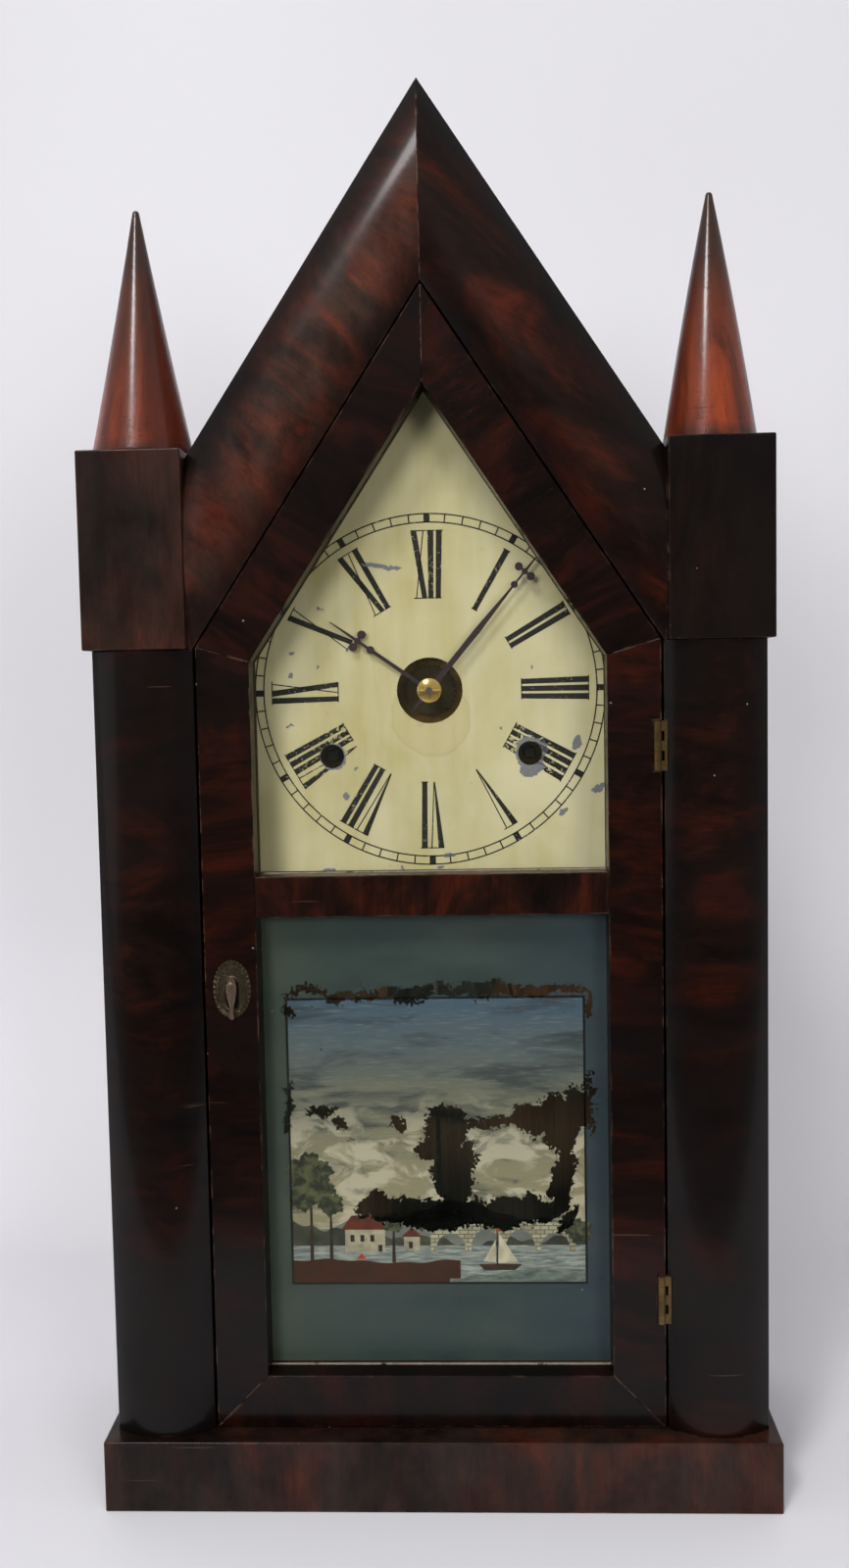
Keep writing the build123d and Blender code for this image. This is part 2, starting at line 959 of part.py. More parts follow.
def ratchet_outline(place):
    points = []
    for index in range(ratchet_teeth):
        angle = 2 * pi * index / ratchet_teeth
        for reach in (ratchet_radius - ratchet_depth, ratchet_radius):
            points.append((place[0] + reach * cos(angle), place[1] + reach * sin(angle)))
    return outline(points)


def make_winding_arbor(place):
    body = rod_along_y(
        place, winding_arbor_radius, winding_end + winding_square_length, back_plate_y - end_shake
    )
    body += from_front(
        Pos(*place) * Rectangle(winding_square, winding_square),
        winding_end,
        winding_end + winding_square_length,
    )
    body += rod_along_y(
        place, mainspring_hub, mainspring_start, mainspring_end
    )
    ratchet_y = great_y + great_thickness + ratchet_gap
    body += from_front(ratchet_outline(place), ratchet_y, ratchet_y + ratchet_thickness)
    return body + rod_along_y(place, pivot_radius, back_plate_y - end_shake, back_plate_end)


def make_mainspring(place, side):
    """The wound pack, with its outer end led to the lower pillar in a loop."""
    pack = Pos(*place) * Circle(mainspring_radius)
    pack -= Pos(*place) * Circle(mainspring_hub + mainspring_gap)
    pillar = (side * pillar_x, hand_height - pillar_low)
    loop_inner = pillar_radius + loop_clearance
    across = (pillar[0] - place[0], pillar[1] - place[1])
    distance = hypot(*across)
    angle = atan2(across[1], across[0])
    start = step_from(place, mainspring_radius - mainspring_strip, degrees(angle))
    length = distance - mainspring_radius - loop_inner
    middle = step_from(start, length / 2, degrees(angle))
    strip = Pos(*middle) * Rot(0, 0, degrees(angle)) * Rectangle(
        length + mainspring_strip, mainspring_strip
    )
    loop = Pos(*pillar) * Circle(loop_inner + mainspring_strip)
    loop -= Pos(*pillar) * Circle(loop_inner)
    return from_front(pack + strip + loop, mainspring_start, mainspring_end)


def make_second_arbor(winding, place, rim=rim_width):
    """The second wheel and the pinion that its great wheel drives."""
    phase = meeting_phase(winding, place, great_teeth, second_pinion_leaves)
    body = arbor_with_pivots(place)
    body += toothed_wheel(
        place,
        second_pinion_leaves,
        great_module,
        great_y - pinion_overlap,
        great_y + great_thickness + pinion_overlap,
        phase,
    )
    return body + toothed_wheel(
        place,
        second_teeth,
        second_module,
        second_y,
        second_y + wheel_thickness,
        eye=second_eye_radius,
        rim=rim,
    )


def make_third_arbor(second, place):
    phase = meeting_phase(second, place, second_teeth, third_pinion_leaves)
    body = arbor_with_pivots(place)
    body += toothed_wheel(
        place,
        third_pinion_leaves,
        second_module,
        second_y - pinion_overlap,
        second_y + wheel_thickness + pinion_overlap,
        phase,
    )
    return body + toothed_wheel(
        place, third_teeth, third_module, third_y, third_y + wheel_thickness, eye=third_eye_radius
    )


def last_pinion(third, place):
    phase = meeting_phase(third, place, third_teeth, last_pinion_leaves)
    return toothed_wheel(
        place,
        last_pinion_leaves,
        third_module,
        third_y - pinion_overlap,
        third_y + wheel_thickness + pinion_overlap,
        phase,
    )


def make_going_second():
    body = make_second_arbor(going_winding, going_second)
    return body + toothed_wheel(
        going_second,
        take_off_teeth,
        transfer_module,
        transfer_y,
        transfer_y + wheel_thickness,
        eye=second_eye_radius,
    )


def make_centre_wheel():
    phase = meeting_phase(going_second, centre, take_off_teeth, centre_teeth)
    wheel = toothed_wheel(
        centre,
        centre_teeth,
        transfer_module,
        transfer_y,
        transfer_y + wheel_thickness,
        phase,
        eye=centre_eye_radius,
    )
    wheel += rod_along_y(centre, hub_radius + centre_arbor_radius, transfer_y - hub_length, transfer_y)
    return wheel - rod_along_y(
        centre, centre_arbor_radius + running_clearance, transfer_y - overrun, transfer_y + overrun
    )


def make_striking_second():
    """The pin wheel, whose wide rim carries the pins that lift the hammer."""
    body = make_second_arbor(striking_winding, striking_second, pin_rim)
    for index in range(lifting_pins):
        place = step_from(striking_second, lifting_pin_circle, 360 * index / lifting_pins)
        body += rod_along_y(place, lifting_pin_radius, second_y - lifting_pin_length, second_y)
    return body


def make_fly():
    body = arbor_with_pivots(fly) + last_pinion(striking_third, fly)
    blades = from_front(
        Pos(*fly) * Rectangle(fly_span, fly_blade),
        plate_front_y + fly_clearance,
        great_y - fly_clearance,
    )
    return body + blades


def make_escape_wheel():
    points = []
    root = escape_radius - escape_tooth
    lean = pi / escape_teeth
    for index in range(escape_teeth):
        angle = 2 * pi * index / escape_teeth
        points.append((root * cos(angle), root * sin(angle)))
        points.append((escape_radius * cos(angle + lean), escape_radius * sin(angle + lean)))
        points.append((root * cos(angle + lean), root * sin(angle + lean)))
    drawing = outline(points) - openings_between_arms(third_eye_radius, root - rim_width)
    wheel = from_front(Pos(*escape) * drawing, escape_y, escape_y + escape_thickness)
    cock_y = escape_y - cock_thickness - end_shake
    body = rod_along_y(escape, arbor_radius, escape_y - end_shake / 2, back_plate_y - end_shake)
    body += rod_along_y(escape, pivot_radius, cock_y, escape_y)
    body += rod_along_y(escape, pivot_radius, back_plate_y - end_shake, back_plate_end)
    return body + wheel + last_pinion(going_third, escape)


def escape_cock():
    """A bridge riveted to the front plate, which holds the escape wheel's front pivot."""
    cock_y = escape_y - cock_thickness - end_shake
    foot_x = escape[0] - cock_reach
    arm = from_front(
        Pos((escape[0] + foot_x) / 2, escape[1]) * SlotOverall(cock_reach + cock_width, cock_width),
        cock_y,
        cock_y + cock_thickness,
    )
    foot = rod_along_y((foot_x, escape[1]), cock_width / 2, cock_y, front_plate_face)
    hole = rod_along_y(escape, pivot_radius + running_clearance, cock_y - overrun, escape_y)
    screw = rod_along_y((foot_x, escape[1]), cock_screw_radius, cock_y - cock_thickness / 2, cock_y)
    return arm + foot + screw - hole


# Escapement and pendulum

def make_verge():
    """A bent strip on its pin, whose ends stand over the escape wheel's teeth."""
    aim = degrees(atan2(verge[1] - escape[1], verge[0] - escape[0]))
    strip = Pos(*verge) * Circle(verge_hub_radius)
    for side in (-1, 1):
        reach = escape_radius + pallet_clearance + verge_strip / 2
        tip = step_from(escape, reach, aim + side * pallet_half_angle)
        across = (tip[0] - verge[0], tip[1] - verge[1])
        angle = degrees(atan2(across[1], across[0]))
        middle = ((tip[0] + verge[0]) / 2, (tip[1] + verge[1]) / 2)
        strip += Pos(*middle) * Rot(0, 0, angle) * Rectangle(hypot(*across), verge_strip)
    wire_y = verge_y - crutch_radius
    body = from_front(strip, verge_y, verge_y + verge_width)
    body += rod_along_y(verge, verge_hub_radius, wire_y - crutch_radius, verge_y)
    body -= rod_along_y(verge, verge_pin_radius + running_clearance, verge_y - overrun, front_plate_face)
    body += rod_between(
        (verge[0], wire_y, verge[1] - verge_pin_radius - crutch_radius - running_clearance),
        (verge[0], wire_y, verge[1] - crutch_length),
        crutch_radius,
    )
    fork_gap = pendulum_rod_radius + fork_clearance
    low = verge[1] - crutch_length - fork_length
    high = verge[1] - crutch_length
    fork = block_between(
        -fork_width / 2, fork_width / 2, pendulum_y - fork_gap, wire_y + crutch_radius, low, high
    )
    slot = block_between(
        -fork_gap,
        fork_gap,
        pendulum_y - fork_gap - overrun,
        pendulum_y + fork_gap,
        low - overrun,
        high + overrun,
    )
    return body + (fork - slot)


def make_pendulum_rod():
    top = verge_height + suspension_rise
    spring_low = verge_height - suspension_height
    spring = block_between(
        -suspension_thickness / 2,
        suspension_thickness / 2,
        pendulum_y - suspension_width / 2,
        pendulum_y + suspension_width / 2,
        spring_low,
        top,
    )
    clip = block_between(
        -clip_half,
        clip_half,
        pendulum_y - clip_half,
        pendulum_y + clip_half,
        spring_low - clip_height,
        spring_low,
    )
    rod = rod_between(
        (0, pendulum_y, bob_neck_top - bob_bore_depth), (0, pendulum_y, spring_low), pendulum_rod_radius
    )
    return spring + clip + rod


def make_bob():
    half = bob_thickness / 2
    rim = bob_rim / 2
    middle = bob_radius / 2
    bulge = rim + (half - rim) * bob_bulge_share
    face = make_face(
        ThreePointArc((0, -half), (middle, -bulge), (bob_radius, -rim))
        + Line((bob_radius, -rim), (bob_radius, rim))
        + ThreePointArc((bob_radius, rim), (middle, bulge), (0, half))
        + Line((0, half), (0, -half))
    )
    lens = Pos(0, pendulum_y, bob_height) * revolve(face, axis=Axis.Y)
    neck = rod_between(
        (0, pendulum_y, bob_height + bob_radius - bob_bore_depth),
        (0, pendulum_y, bob_neck_top),
        bob_neck_radius,
    )
    bore = rod_between(
        (0, pendulum_y, bob_neck_top - bob_bore_depth),
        (0, pendulum_y, bob_neck_top + overrun),
        pendulum_rod_radius + glue_clearance,
    )
    return lens + neck - bore


def make_rating_nut():
    nut = rod_between(
        (0, pendulum_y, bob_neck_top),
        (0, pendulum_y, bob_neck_top + rating_nut_thickness),
        rating_nut_radius,
    )
    bore = rod_between(
        (0, pendulum_y, bob_neck_top - overrun),
        (0, pendulum_y, bob_neck_top + overrun),
        pendulum_rod_radius + glue_clearance,
    )
    return nut - bore


# Movement frame

def plate_outline():
    height = plate_top + plate_bottom
    middle = hand_height + (plate_top - plate_bottom) / 2
    return Pos(0, middle) * RectangleRounded(2 * plate_half_width, height, plate_corner)


def make_front_plate():
    """The front plate with the posts and pins that are riveted into it."""
    sheet = plate_outline()
    pivots = (going_second, going_third, striking_second, striking_third, fly, hammer_arbor)
    for place in pivots:
        sheet -= Pos(*place) * Circle(pivot_radius + running_clearance)
    for place in (going_winding, striking_winding):
        sheet -= Pos(*place) * Circle(winding_arbor_radius + running_clearance)
    sheet -= Pos(*escape) * Circle(arbor_radius + running_clearance)
    sheet -= Pos(*centre) * Circle(centre_arbor_radius + running_clearance)
    for place in pillar_places:
        sheet -= Pos(*place) * Circle(pillar_tenon_radius + glue_clearance)
    body = from_front(sheet, front_plate_face, plate_front_y)
    body += rod_along_y(verge, verge_pin_radius, verge_y - 2 * crutch_radius, plate_front_y)
    stud_front = motion_y - motion_wheel_thickness - motion_pinion_length - stud_end
    body += rod_along_y(motion_stud, stud_radius, stud_front, plate_front_y)
    return body + suspension_post() + escape_cock()


def suspension_post():
    low = verge_height - suspension_rise / 2
    high = low + post_head_height
    stem_z = high - post_radius
    stem = rod_along_y((0, stem_z), post_radius, pendulum_y, plate_front_y)
    head = block_between(
        -post_head_half,
        post_head_half,
        pendulum_y - post_head_half,
        pendulum_y + post_head_half,
        low,
        high,
    )
    slot = block_between(
        -post_slot_half,
        post_slot_half,
        pendulum_y - post_head_half - overrun,
        pendulum_y + post_head_half + overrun,
        low - overrun,
        verge_height + suspension_rise + end_shake,
    )
    return stem + head - slot


def make_back_plate():
    """The back plate with its four pillars riveted in."""
    sheet = plate_outline()
    pivots = (
        going_second, going_third, striking_second, striking_third, fly, hammer_arbor,
        going_winding, striking_winding, escape, centre,
    )
    for place in pivots:
        sheet -= Pos(*place) * Circle(pivot_radius + running_clearance)
    for place in screw_places:
        sheet -= Pos(*place) * Circle(screw_shank_radius + glue_clearance)
    body = from_front(sheet, back_plate_y, back_plate_end)
    for place in pillar_places:
        body += rod_along_y(place, pillar_radius, plate_front_y, back_plate_y)
        body += rod_along_y(place, pillar_tenon_radius, front_plate_face - pillar_tenon, plate_front_y)
    return body


def make_pillar_nuts():
    nuts = []
    for place in pillar_places:
        nut = Pos(*place) * RegularPolygon(nut_radius, 6)
        nut -= Pos(*place) * Circle(pillar_tenon_radius + glue_clearance)
        nuts.append(from_front(nut, front_plate_face - nut_thickness, front_plate_face))
    return Compound(children=nuts)


def make_movement_rails():
    rail = block_between(
        movement_rail_outer - movement_rail_width,
        movement_rail_outer,
        back_plate_end,
        back_board_y,
        hand_height - plate_bottom - movement_rail_margin,
        hand_height + plate_top + movement_rail_margin,
    )
    rails = rail + other_side(rail)
    for place in screw_places:
        rails -= rod_along_y(
            place, screw_shank_radius + glue_clearance, back_plate_y, screw_end + glue_clearance
        )
    return rails


def make_movement_screws():
    screws = []
    for place in screw_places:
        head = rod_along_y(place, screw_head_radius, back_plate_y - screw_head, back_plate_y)
        shank = rod_along_y(place, screw_shank_radius, back_plate_y - screw_head, screw_end)
        screws.append(head + shank)
    return Compound(children=screws)


# Motion work and hands

def make_minute_arbor():
    front = minute_hand_y - washer_thickness - arbor_end
    body = arbor_with_pivots(centre, front=minute_hand_y + hand_thickness, radius=centre_arbor_radius)
    body += rod_along_y(centre, centre_tip_radius, front, minute_hand_y + hand_thickness)
    body += toothed_wheel(
        centre, minute_pinion_leaves, motion_module, motion_y - motion_wheel_thickness, motion_y
    )
    pin_y = minute_hand_y - washer_thickness - taper_pin_radius
    across = centre_tip_radius + overrun
    return body - rod_between(
        (-across, pin_y, centre[1]), (across, pin_y, centre[1]), taper_pin_radius + glue_clearance
    )


def make_motion_wheel():
    phase = meeting_phase(centre, motion_stud, minute_pinion_leaves, motion_wheel_teeth)
    wheel_front = motion_y - motion_wheel_thickness
    body = toothed_wheel(
        motion_stud, motion_wheel_teeth, motion_module, wheel_front, motion_y, phase
    )
    body += toothed_wheel(
        motion_stud, motion_pinion_leaves, motion_module, wheel_front - motion_pinion_length, wheel_front
    )
    return body - rod_along_y(
        motion_stud,
        stud_radius + running_clearance,
        wheel_front - motion_pinion_length - overrun,
        motion_y,
    )


def make_hour_wheel():
    phase = meeting_phase(motion_stud, centre, motion_pinion_leaves, hour_wheel_teeth)
    body = toothed_wheel(
        centre, hour_wheel_teeth, motion_module, hour_wheel_y - hour_wheel_thickness, hour_wheel_y, phase
    )
    body += rod_along_y(
        centre, centre_arbor_radius + 2 * running_clearance + pipe_wall, hour_hand_y, hour_wheel_y
    )
    return body - rod_along_y(
        centre, centre_arbor_radius + 2 * running_clearance, hour_hand_y - overrun, hour_wheel_y + overrun
    )


def hand_outline(length, tail, cross_at, angle):
    """A hand that points up, with a cross and two discs part of the way along."""
    shaft = outline([
        (-hand_root_width / 2, 0),
        (hand_root_width / 2, 0),
        (hand_mid_width / 2, cross_at - cross_reach),
        (hand_tip_width / 2, length),
        (-hand_tip_width / 2, length),
        (-hand_mid_width / 2, cross_at - cross_reach),
    ])
    if tail:
        shaft += outline([
            (-hand_root_width / 2, 0),
            (-hand_tip_width, -tail),
            (hand_tip_width, -tail),
            (hand_root_width / 2, 0),
        ])
    shaft += Circle(hand_boss_radius)
    shaft += Pos(0, cross_at) * Rectangle(2 * cross_reach, cross_arm)
    for side in (-1, 1):
        shaft += Pos(side * cross_reach, cross_at) * Circle(cross_disc_radius)
    return Pos(*centre) * Rot(0, 0, -angle) * shaft


def make_minute_hand():
    drawing = hand_outline(minute_hand_length, minute_hand_tail, minute_cross_at, minute_hand_angle)
    drawing -= Pos(*centre) * Circle(centre_tip_radius + glue_clearance)
    return from_front(drawing, minute_hand_y, minute_hand_y + hand_thickness)


def make_hour_hand():
    pipe_radius = centre_arbor_radius + 2 * running_clearance + pipe_wall
    drawing = hand_outline(hour_hand_length, 0, hour_cross_at, hour_hand_angle)
    drawing -= Pos(*centre) * Circle(pipe_radius + glue_clearance)
    return from_front(drawing, hour_hand_y, hour_hand_y + hand_thickness)


def make_hand_washer():
    """The domed washer and the taper pin that hold the minute hand."""
    back = minute_hand_y
    face = make_face(
        ThreePointArc(
            (washer_radius, 0),
            (washer_radius / 2, washer_thickness * washer_dome_share),
            (0, washer_thickness),
        )
        + Polyline((0, washer_thickness), (0, 0), (washer_radius, 0))
    )
    dome = revolve(face, axis=Axis.Y)
    dome = Pos(centre[0], back, centre[1]) * Rot(0, 0, 180) * dome
    dome -= rod_along_y(centre, centre_tip_radius + glue_clearance, back - overrun, back + overrun)
    pin_y = back - washer_thickness - taper_pin_radius
    pin = rod_between(
        (-taper_pin_length / 2, pin_y, centre[1]),
        (taper_pin_length / 2, pin_y, centre[1]),
        taper_pin_radius,
    )
    return Compound(children=[dome, pin])


# Hammer and gong

def make_hammer():
    arbor = arbor_with_pivots(hammer_arbor)
    tip = step_from(hammer_arbor, hammer_reach, -90 - hammer_angle)
    wire = rod_between(
        (hammer_arbor[0], hammer_y, hammer_arbor[1]), (tip[0], hammer_y, tip[1]), hammer_wire_radius
    )
    half = hammer_head_length / 2
    head = rod_between(
        (tip[0] - half, hammer_y, tip[1]), (tip[0] + half, hammer_y, tip[1]), hammer_head_radius
    )
    return arbor + wire + head


def gong_path():
    """A short straight lead, then half turns that each reach half a pitch further."""
    path = Line((gong_start_radius, -gong_lead), (gong_start_radius, 0))
    start = gong_start_radius
    reach = gong_start_radius + gong_pitch / 4
    side = 1
    for _ in range(2 * gong_turns):
        end = start - side * 2 * reach
        path += ThreePointArc((start, 0), ((start + end) / 2, side * reach), (end, 0))
        start = end
        reach += gong_pitch / 2
        side = -side
    return path


def least_self_gap(path, thickness, apart):
    """The least gap, on points, between stretches further than apart from each other along a strip."""
    count = round(path.length / thickness)
    points = [tuple(path.position_at(index / count)) for index in range(count + 1)]
    skip = round(apart / path.length * count)
    return min(
        dist(points[first], points[second]) - thickness
        for first in range(count + 1 - skip)
        for second in range(first + skip, count + 1)
    )


def make_gong():
    """A flat coil of strip, whose inner end stands in the stand's post."""
    x, z = gong_place
    plane = Plane(origin=(x, hammer_y, z), x_dir=(1, 0, 0), z_dir=(0, -1, 0))
    path = gong_path()
    print("gong, least gap to itself", round(least_self_gap(path, gong_strip, pi * gong_start_radius), 2))
    foot = plane.from_local_coords((gong_start_radius, -gong_lead, 0))
    level = Plane(origin=foot, x_dir=(1, 0, 0), z_dir=(0, 0, 1))
    return sweep(level * Rectangle(gong_strip, gong_strip_depth), path=plane * path)


def make_gong_stand():
    x, z = gong_place
    top = z - gong_lead
    post = block_between(
        x + gong_start_radius - stand_post_half,
        x + gong_start_radius + stand_post_half,
        hammer_y - stand_post_half,
        back_board_y,
        top - stand_post_height,
        top,
    )
    plate = block_between(
        x - stand_plate_width / 2,
        x + stand_plate_width / 2,
        back_board_y - stand_plate_thickness,
        back_board_y,
        z - stand_plate_height / 2,
        z + stand_plate_height / 2,
    )
    return post + plate


# Every piece under its name

def leaf_pair(maker):
    return Compound(children=[maker(height) for height in hinge_heights])


right_column = make_right_column()
pieces = {
    "base": make_base(),
    "left_column": other_side(right_column),
    "right_column": right_column - [case_leaf_pocket(height) for height in hinge_heights],
    "left_block": other_side(make_right_block()),
    "right_block": make_right_block(),
    "left_finial": other_side(make_finial(left_finial_radius, left_finial_sag)),
    "right_finial": make_finial(right_finial_radius, right_finial_sag),
    "left_gable_moulding": other_side(make_right_moulding()),
    "right_gable_moulding": make_right_moulding(),
    "left_roof_board": other_side(make_right_roof_board()),
    "right_roof_board": make_right_roof_board(),
    "left_side_board": other_side(make_right_side_board()),
    "right_side_board": make_right_side_board(),
    "back_board": make_back_board(),
    "dial_rails": make_dial_rails(),
    "dial": make_dial(),
    "dial_tacks": make_dial_tacks(),
    "left_stile": make_left_stile(),
    "right_stile": make_right_stile(),
    "left_rafter": door_member(mirrored_points(rafter_points())),
    "right_rafter": door_member(rafter_points()),
    "mid_rail": make_mid_rail(),
    "bottom_rail": make_bottom_rail(),
    "upper_glass": make_upper_glass(),
    "tablet": make_tablet(),
    "glazing_beads": make_glazing_beads(),
    "hinge_door_leaves": leaf_pair(make_door_leaf),
    "hinge_case_leaves": leaf_pair(make_case_leaf),
    "escutcheon": make_escutcheon(),
    "latch_lever": make_latch_lever(),
    "front_plate": make_front_plate(),
    "back_plate": make_back_plate(),
    "pillar_nuts": make_pillar_nuts(),
    "movement_rails": make_movement_rails(),
    "movement_screws": make_movement_screws(),
    "going_great_wheel": make_great_wheel(going_winding),
    "going_winding_arbor": make_winding_arbor(going_winding),
    "going_second_wheel": make_going_second(),
    "going_third_wheel": make_third_arbor(going_second, going_third),
    "escape_wheel": make_escape_wheel(),
    "centre_wheel": make_centre_wheel(),
    "striking_great_wheel": make_great_wheel(striking_winding),
    "striking_winding_arbor": make_winding_arbor(striking_winding),
    "striking_pin_wheel": make_striking_second(),
    "striking_third_wheel": make_third_arbor(striking_second, striking_third),
    "fly": make_fly(),
    "mainsprings": Compound(
        children=[make_mainspring(going_winding, 1), make_mainspring(striking_winding, -1)]
    ),
    "verge": make_verge(),
    "pendulum_rod": make_pendulum_rod(),
    "pendulum_bob": make_bob(),
    "rating_nut": make_rating_nut(),
    "minute_arbor": make_minute_arbor(),
    "motion_wheel": make_motion_wheel(),
    "hour_wheel": make_hour_wheel(),
    "minute_hand": make_minute_hand(),
    "hour_hand": make_hour_hand(),
    "hand_washer": make_hand_washer(),
    "strike_hammer": make_hammer(),
    "gong": make_gong(),
    "gong_stand": make_gong_stand(),
}

for name, shape in pieces.items():
    export_step(shape, f"parts/{name}.step")
print(len(pieces), "pieces")
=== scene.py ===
# %% [markdown]
# # A steeple clock
# This is a mantel clock of the 1840s kind: a sharp gable between two spires, a glazed door, a painted
# dial, and a painted glass tablet below it. The case, the door and the movement arrive as a packed
# model whose pieces are already in place. Blender gives them their looks: veneer, varnish, old
# brass, paint and glass, and the small pieces that a joiner or a painter would add by hand.
# Everything is in metres, X to the right of the dial, Y towards the back and Z up.

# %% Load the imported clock
import json
import math

import bmesh
import bpy
import numpy as np
from mathutils import Matrix, Vector

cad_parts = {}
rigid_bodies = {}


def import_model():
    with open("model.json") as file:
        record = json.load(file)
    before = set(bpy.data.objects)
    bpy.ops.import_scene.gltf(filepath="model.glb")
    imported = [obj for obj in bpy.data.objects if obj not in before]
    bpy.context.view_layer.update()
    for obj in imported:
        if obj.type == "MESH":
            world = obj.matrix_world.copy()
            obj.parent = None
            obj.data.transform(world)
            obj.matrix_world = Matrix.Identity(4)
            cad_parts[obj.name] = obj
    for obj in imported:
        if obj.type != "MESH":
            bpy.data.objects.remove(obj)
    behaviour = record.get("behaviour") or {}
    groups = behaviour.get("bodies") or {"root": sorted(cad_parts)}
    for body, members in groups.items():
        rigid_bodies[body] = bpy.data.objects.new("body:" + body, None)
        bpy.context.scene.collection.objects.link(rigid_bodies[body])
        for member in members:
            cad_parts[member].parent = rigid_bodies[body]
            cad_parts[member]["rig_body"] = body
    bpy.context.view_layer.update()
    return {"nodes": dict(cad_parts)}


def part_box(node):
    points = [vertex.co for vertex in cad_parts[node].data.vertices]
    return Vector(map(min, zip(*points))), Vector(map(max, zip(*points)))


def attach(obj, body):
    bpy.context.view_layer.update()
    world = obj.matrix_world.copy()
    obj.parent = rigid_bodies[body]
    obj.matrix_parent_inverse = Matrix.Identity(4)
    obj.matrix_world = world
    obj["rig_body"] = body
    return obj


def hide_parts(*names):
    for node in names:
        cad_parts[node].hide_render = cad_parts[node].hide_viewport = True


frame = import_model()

scene = bpy.context.scene
scene.view_settings.view_transform = "Standard"
mm = 0.001

# %% [markdown]
# ## The camera
# The photograph looks almost straight at the dial, from about half a metre. A lens is described
# here by how many pixels of the picture make one unit of slope, which is what a measured view gives.
# Blender wants millimetres on a sensor instead, and the sensor's width goes with the longer side.

# %% Camera
picture_height = 1600
slope_pixels = 1400
sensor_width = 36.0
eye = Vector((17.4 * mm, -530.1 * mm, 297.8 * mm))
yaw, pitch, roll = -0.039, -0.069, -0.019

ahead = Vector((math.sin(yaw) * math.cos(pitch), math.cos(yaw) * math.cos(pitch), math.sin(pitch)))
level = Vector((math.cos(yaw), -math.sin(yaw), 0))
over = level.cross(ahead)
right = math.cos(roll) * level + math.sin(roll) * over
up = -math.sin(roll) * level + math.cos(roll) * over
camera = bpy.data.objects.new("camera", bpy.data.cameras.new("camera"))
camera.data.sensor_width = sensor_width
camera.data.lens = sensor_width * slope_pixels / picture_height
camera.data.clip_start = 0.01
camera.matrix_world = Matrix.Translation(eye) @ Matrix((right, up, -ahead)).transposed().to_4x4()
scene.collection.objects.link(camera)
scene.camera = camera
print("lens", round(camera.data.lens, 2), "mm")

# %% [markdown]
# ## A few small helpers
# A colour is easiest to name as a screen shows it, from 0 to 255, but a shader adds and multiplies
# light, so it needs the linear value. A shader node takes three or four lines to place and join,
# so one helper does that, and a few short ones stand for the nodes that are used most.

# %% Colours and shader nodes
def paint(red, green, blue):
    """A colour as a screen shows it, 0 to 255, as the linear values that a shader takes."""
    shown = np.array((red, green, blue)) / 255
    linear = np.where(shown <= 0.04045, shown / 12.92, ((shown + 0.055) / 1.055) ** 2.4)
    return (*linear.tolist(), 1.0)


def put(tree, kind, inputs=None, **settings):
    """Places a node. An input given as a socket is joined to it, and any other value is written in."""
    node = tree.nodes.new("ShaderNode" + kind)
    for key, value in settings.items():
        setattr(node, key, value)
    for key, value in (inputs or {}).items():
        if isinstance(value, bpy.types.NodeSocket):
            tree.links.new(value, node.inputs[key])
        else:
            node.inputs[key].default_value = value
    return node


def mix(tree, share, first, second, how="MIX"):
    """The colour that goes from the first to the second as the share goes from 0 to 1."""
    node = put(tree, "Mix", {0: share, 6: first, 7: second}, data_type="RGBA", blend_type=how)
    return node.outputs[2]


def maths(tree, how, first, second=0.0, third=0.0):
    node = put(tree, "Math", {0: first, 1: second, 2: third}, operation=how)
    return node.outputs[0]


def stretch(tree, value, low, high, to_low=0.0, to_high=1.0):
    """The value from low to high, spread evenly from to_low to to_high and held there outside."""
    fields = {"Value": value, "From Min": low, "From Max": high, "To Min": to_low, "To Max": to_high}
    return put(tree, "MapRange", fields).outputs[0]


def noise(tree, vector, scale, detail=4.0, roughness=0.55, distortion=0.0):
    fields = {"Vector": vector, "Scale": scale, "Detail": detail, "Roughness": roughness,
              "Distortion": distortion}
    return put(tree, "TexNoise", fields).outputs[0]


def scaled(tree, vector, x, y, z):
    return put(tree, "Mapping", {"Vector": vector, "Scale": (x, y, z)}).outputs[0]


def axis(tree, place, label):
    return put(tree, "SeparateXYZ", {0: place}).outputs[label]


def away_from(tree, place, x, z):
    """Distance from a point given in mm, measured across and up but not in depth."""
    fields = {"Vector": place, "Location": (x * mm, 0, z * mm)}
    local = put(tree, "Mapping", fields, vector_type="TEXTURE").outputs[0]
    flat = put(tree, "VectorMath", {0: local, 1: (1, 0, 1)}, operation="MULTIPLY").outputs[0]
    return put(tree, "VectorMath", {0: flat}, operation="LENGTH").outputs["Value"]


def node_group(name, fields, results):
    """A node group with its own named sockets, its way in and its way out."""
    tree = bpy.data.node_groups.new(name, "ShaderNodeTree")
    for label, kind, value in fields:
        socket = tree.interface.new_socket(label, in_out="INPUT", socket_type="NodeSocket" + kind)
        if value is not None:
            socket.default_value = value
    for label, kind in results:
        tree.interface.new_socket(label, in_out="OUTPUT", socket_type="NodeSocket" + kind)
    return tree, tree.nodes.new("NodeGroupInput").outputs, tree.nodes.new("NodeGroupOutput").inputs


print("red of a brick in linear light", paint(150, 60, 40)[0])

# %% [markdown]
# ## Room and light
# A paper sweep is the plainest studio: the floor rises in a curve and becomes the wall, so that no
# line shows behind the clock. Its profile is a floor, a quarter circle and a wall, carried sideways.
# It ends a hand's breadth in front, because old dark varnish would mirror a wide pale floor. Seen
# from behind, the sweep lets the eye through, so that the clock can be looked at from all
# sides. A steep lamp at the upper left throws the hands' short shadows down and right. Two low wide
# lamps fill the shadows, and gloss doesn't mirror them. A weak window at the left lights the edges.

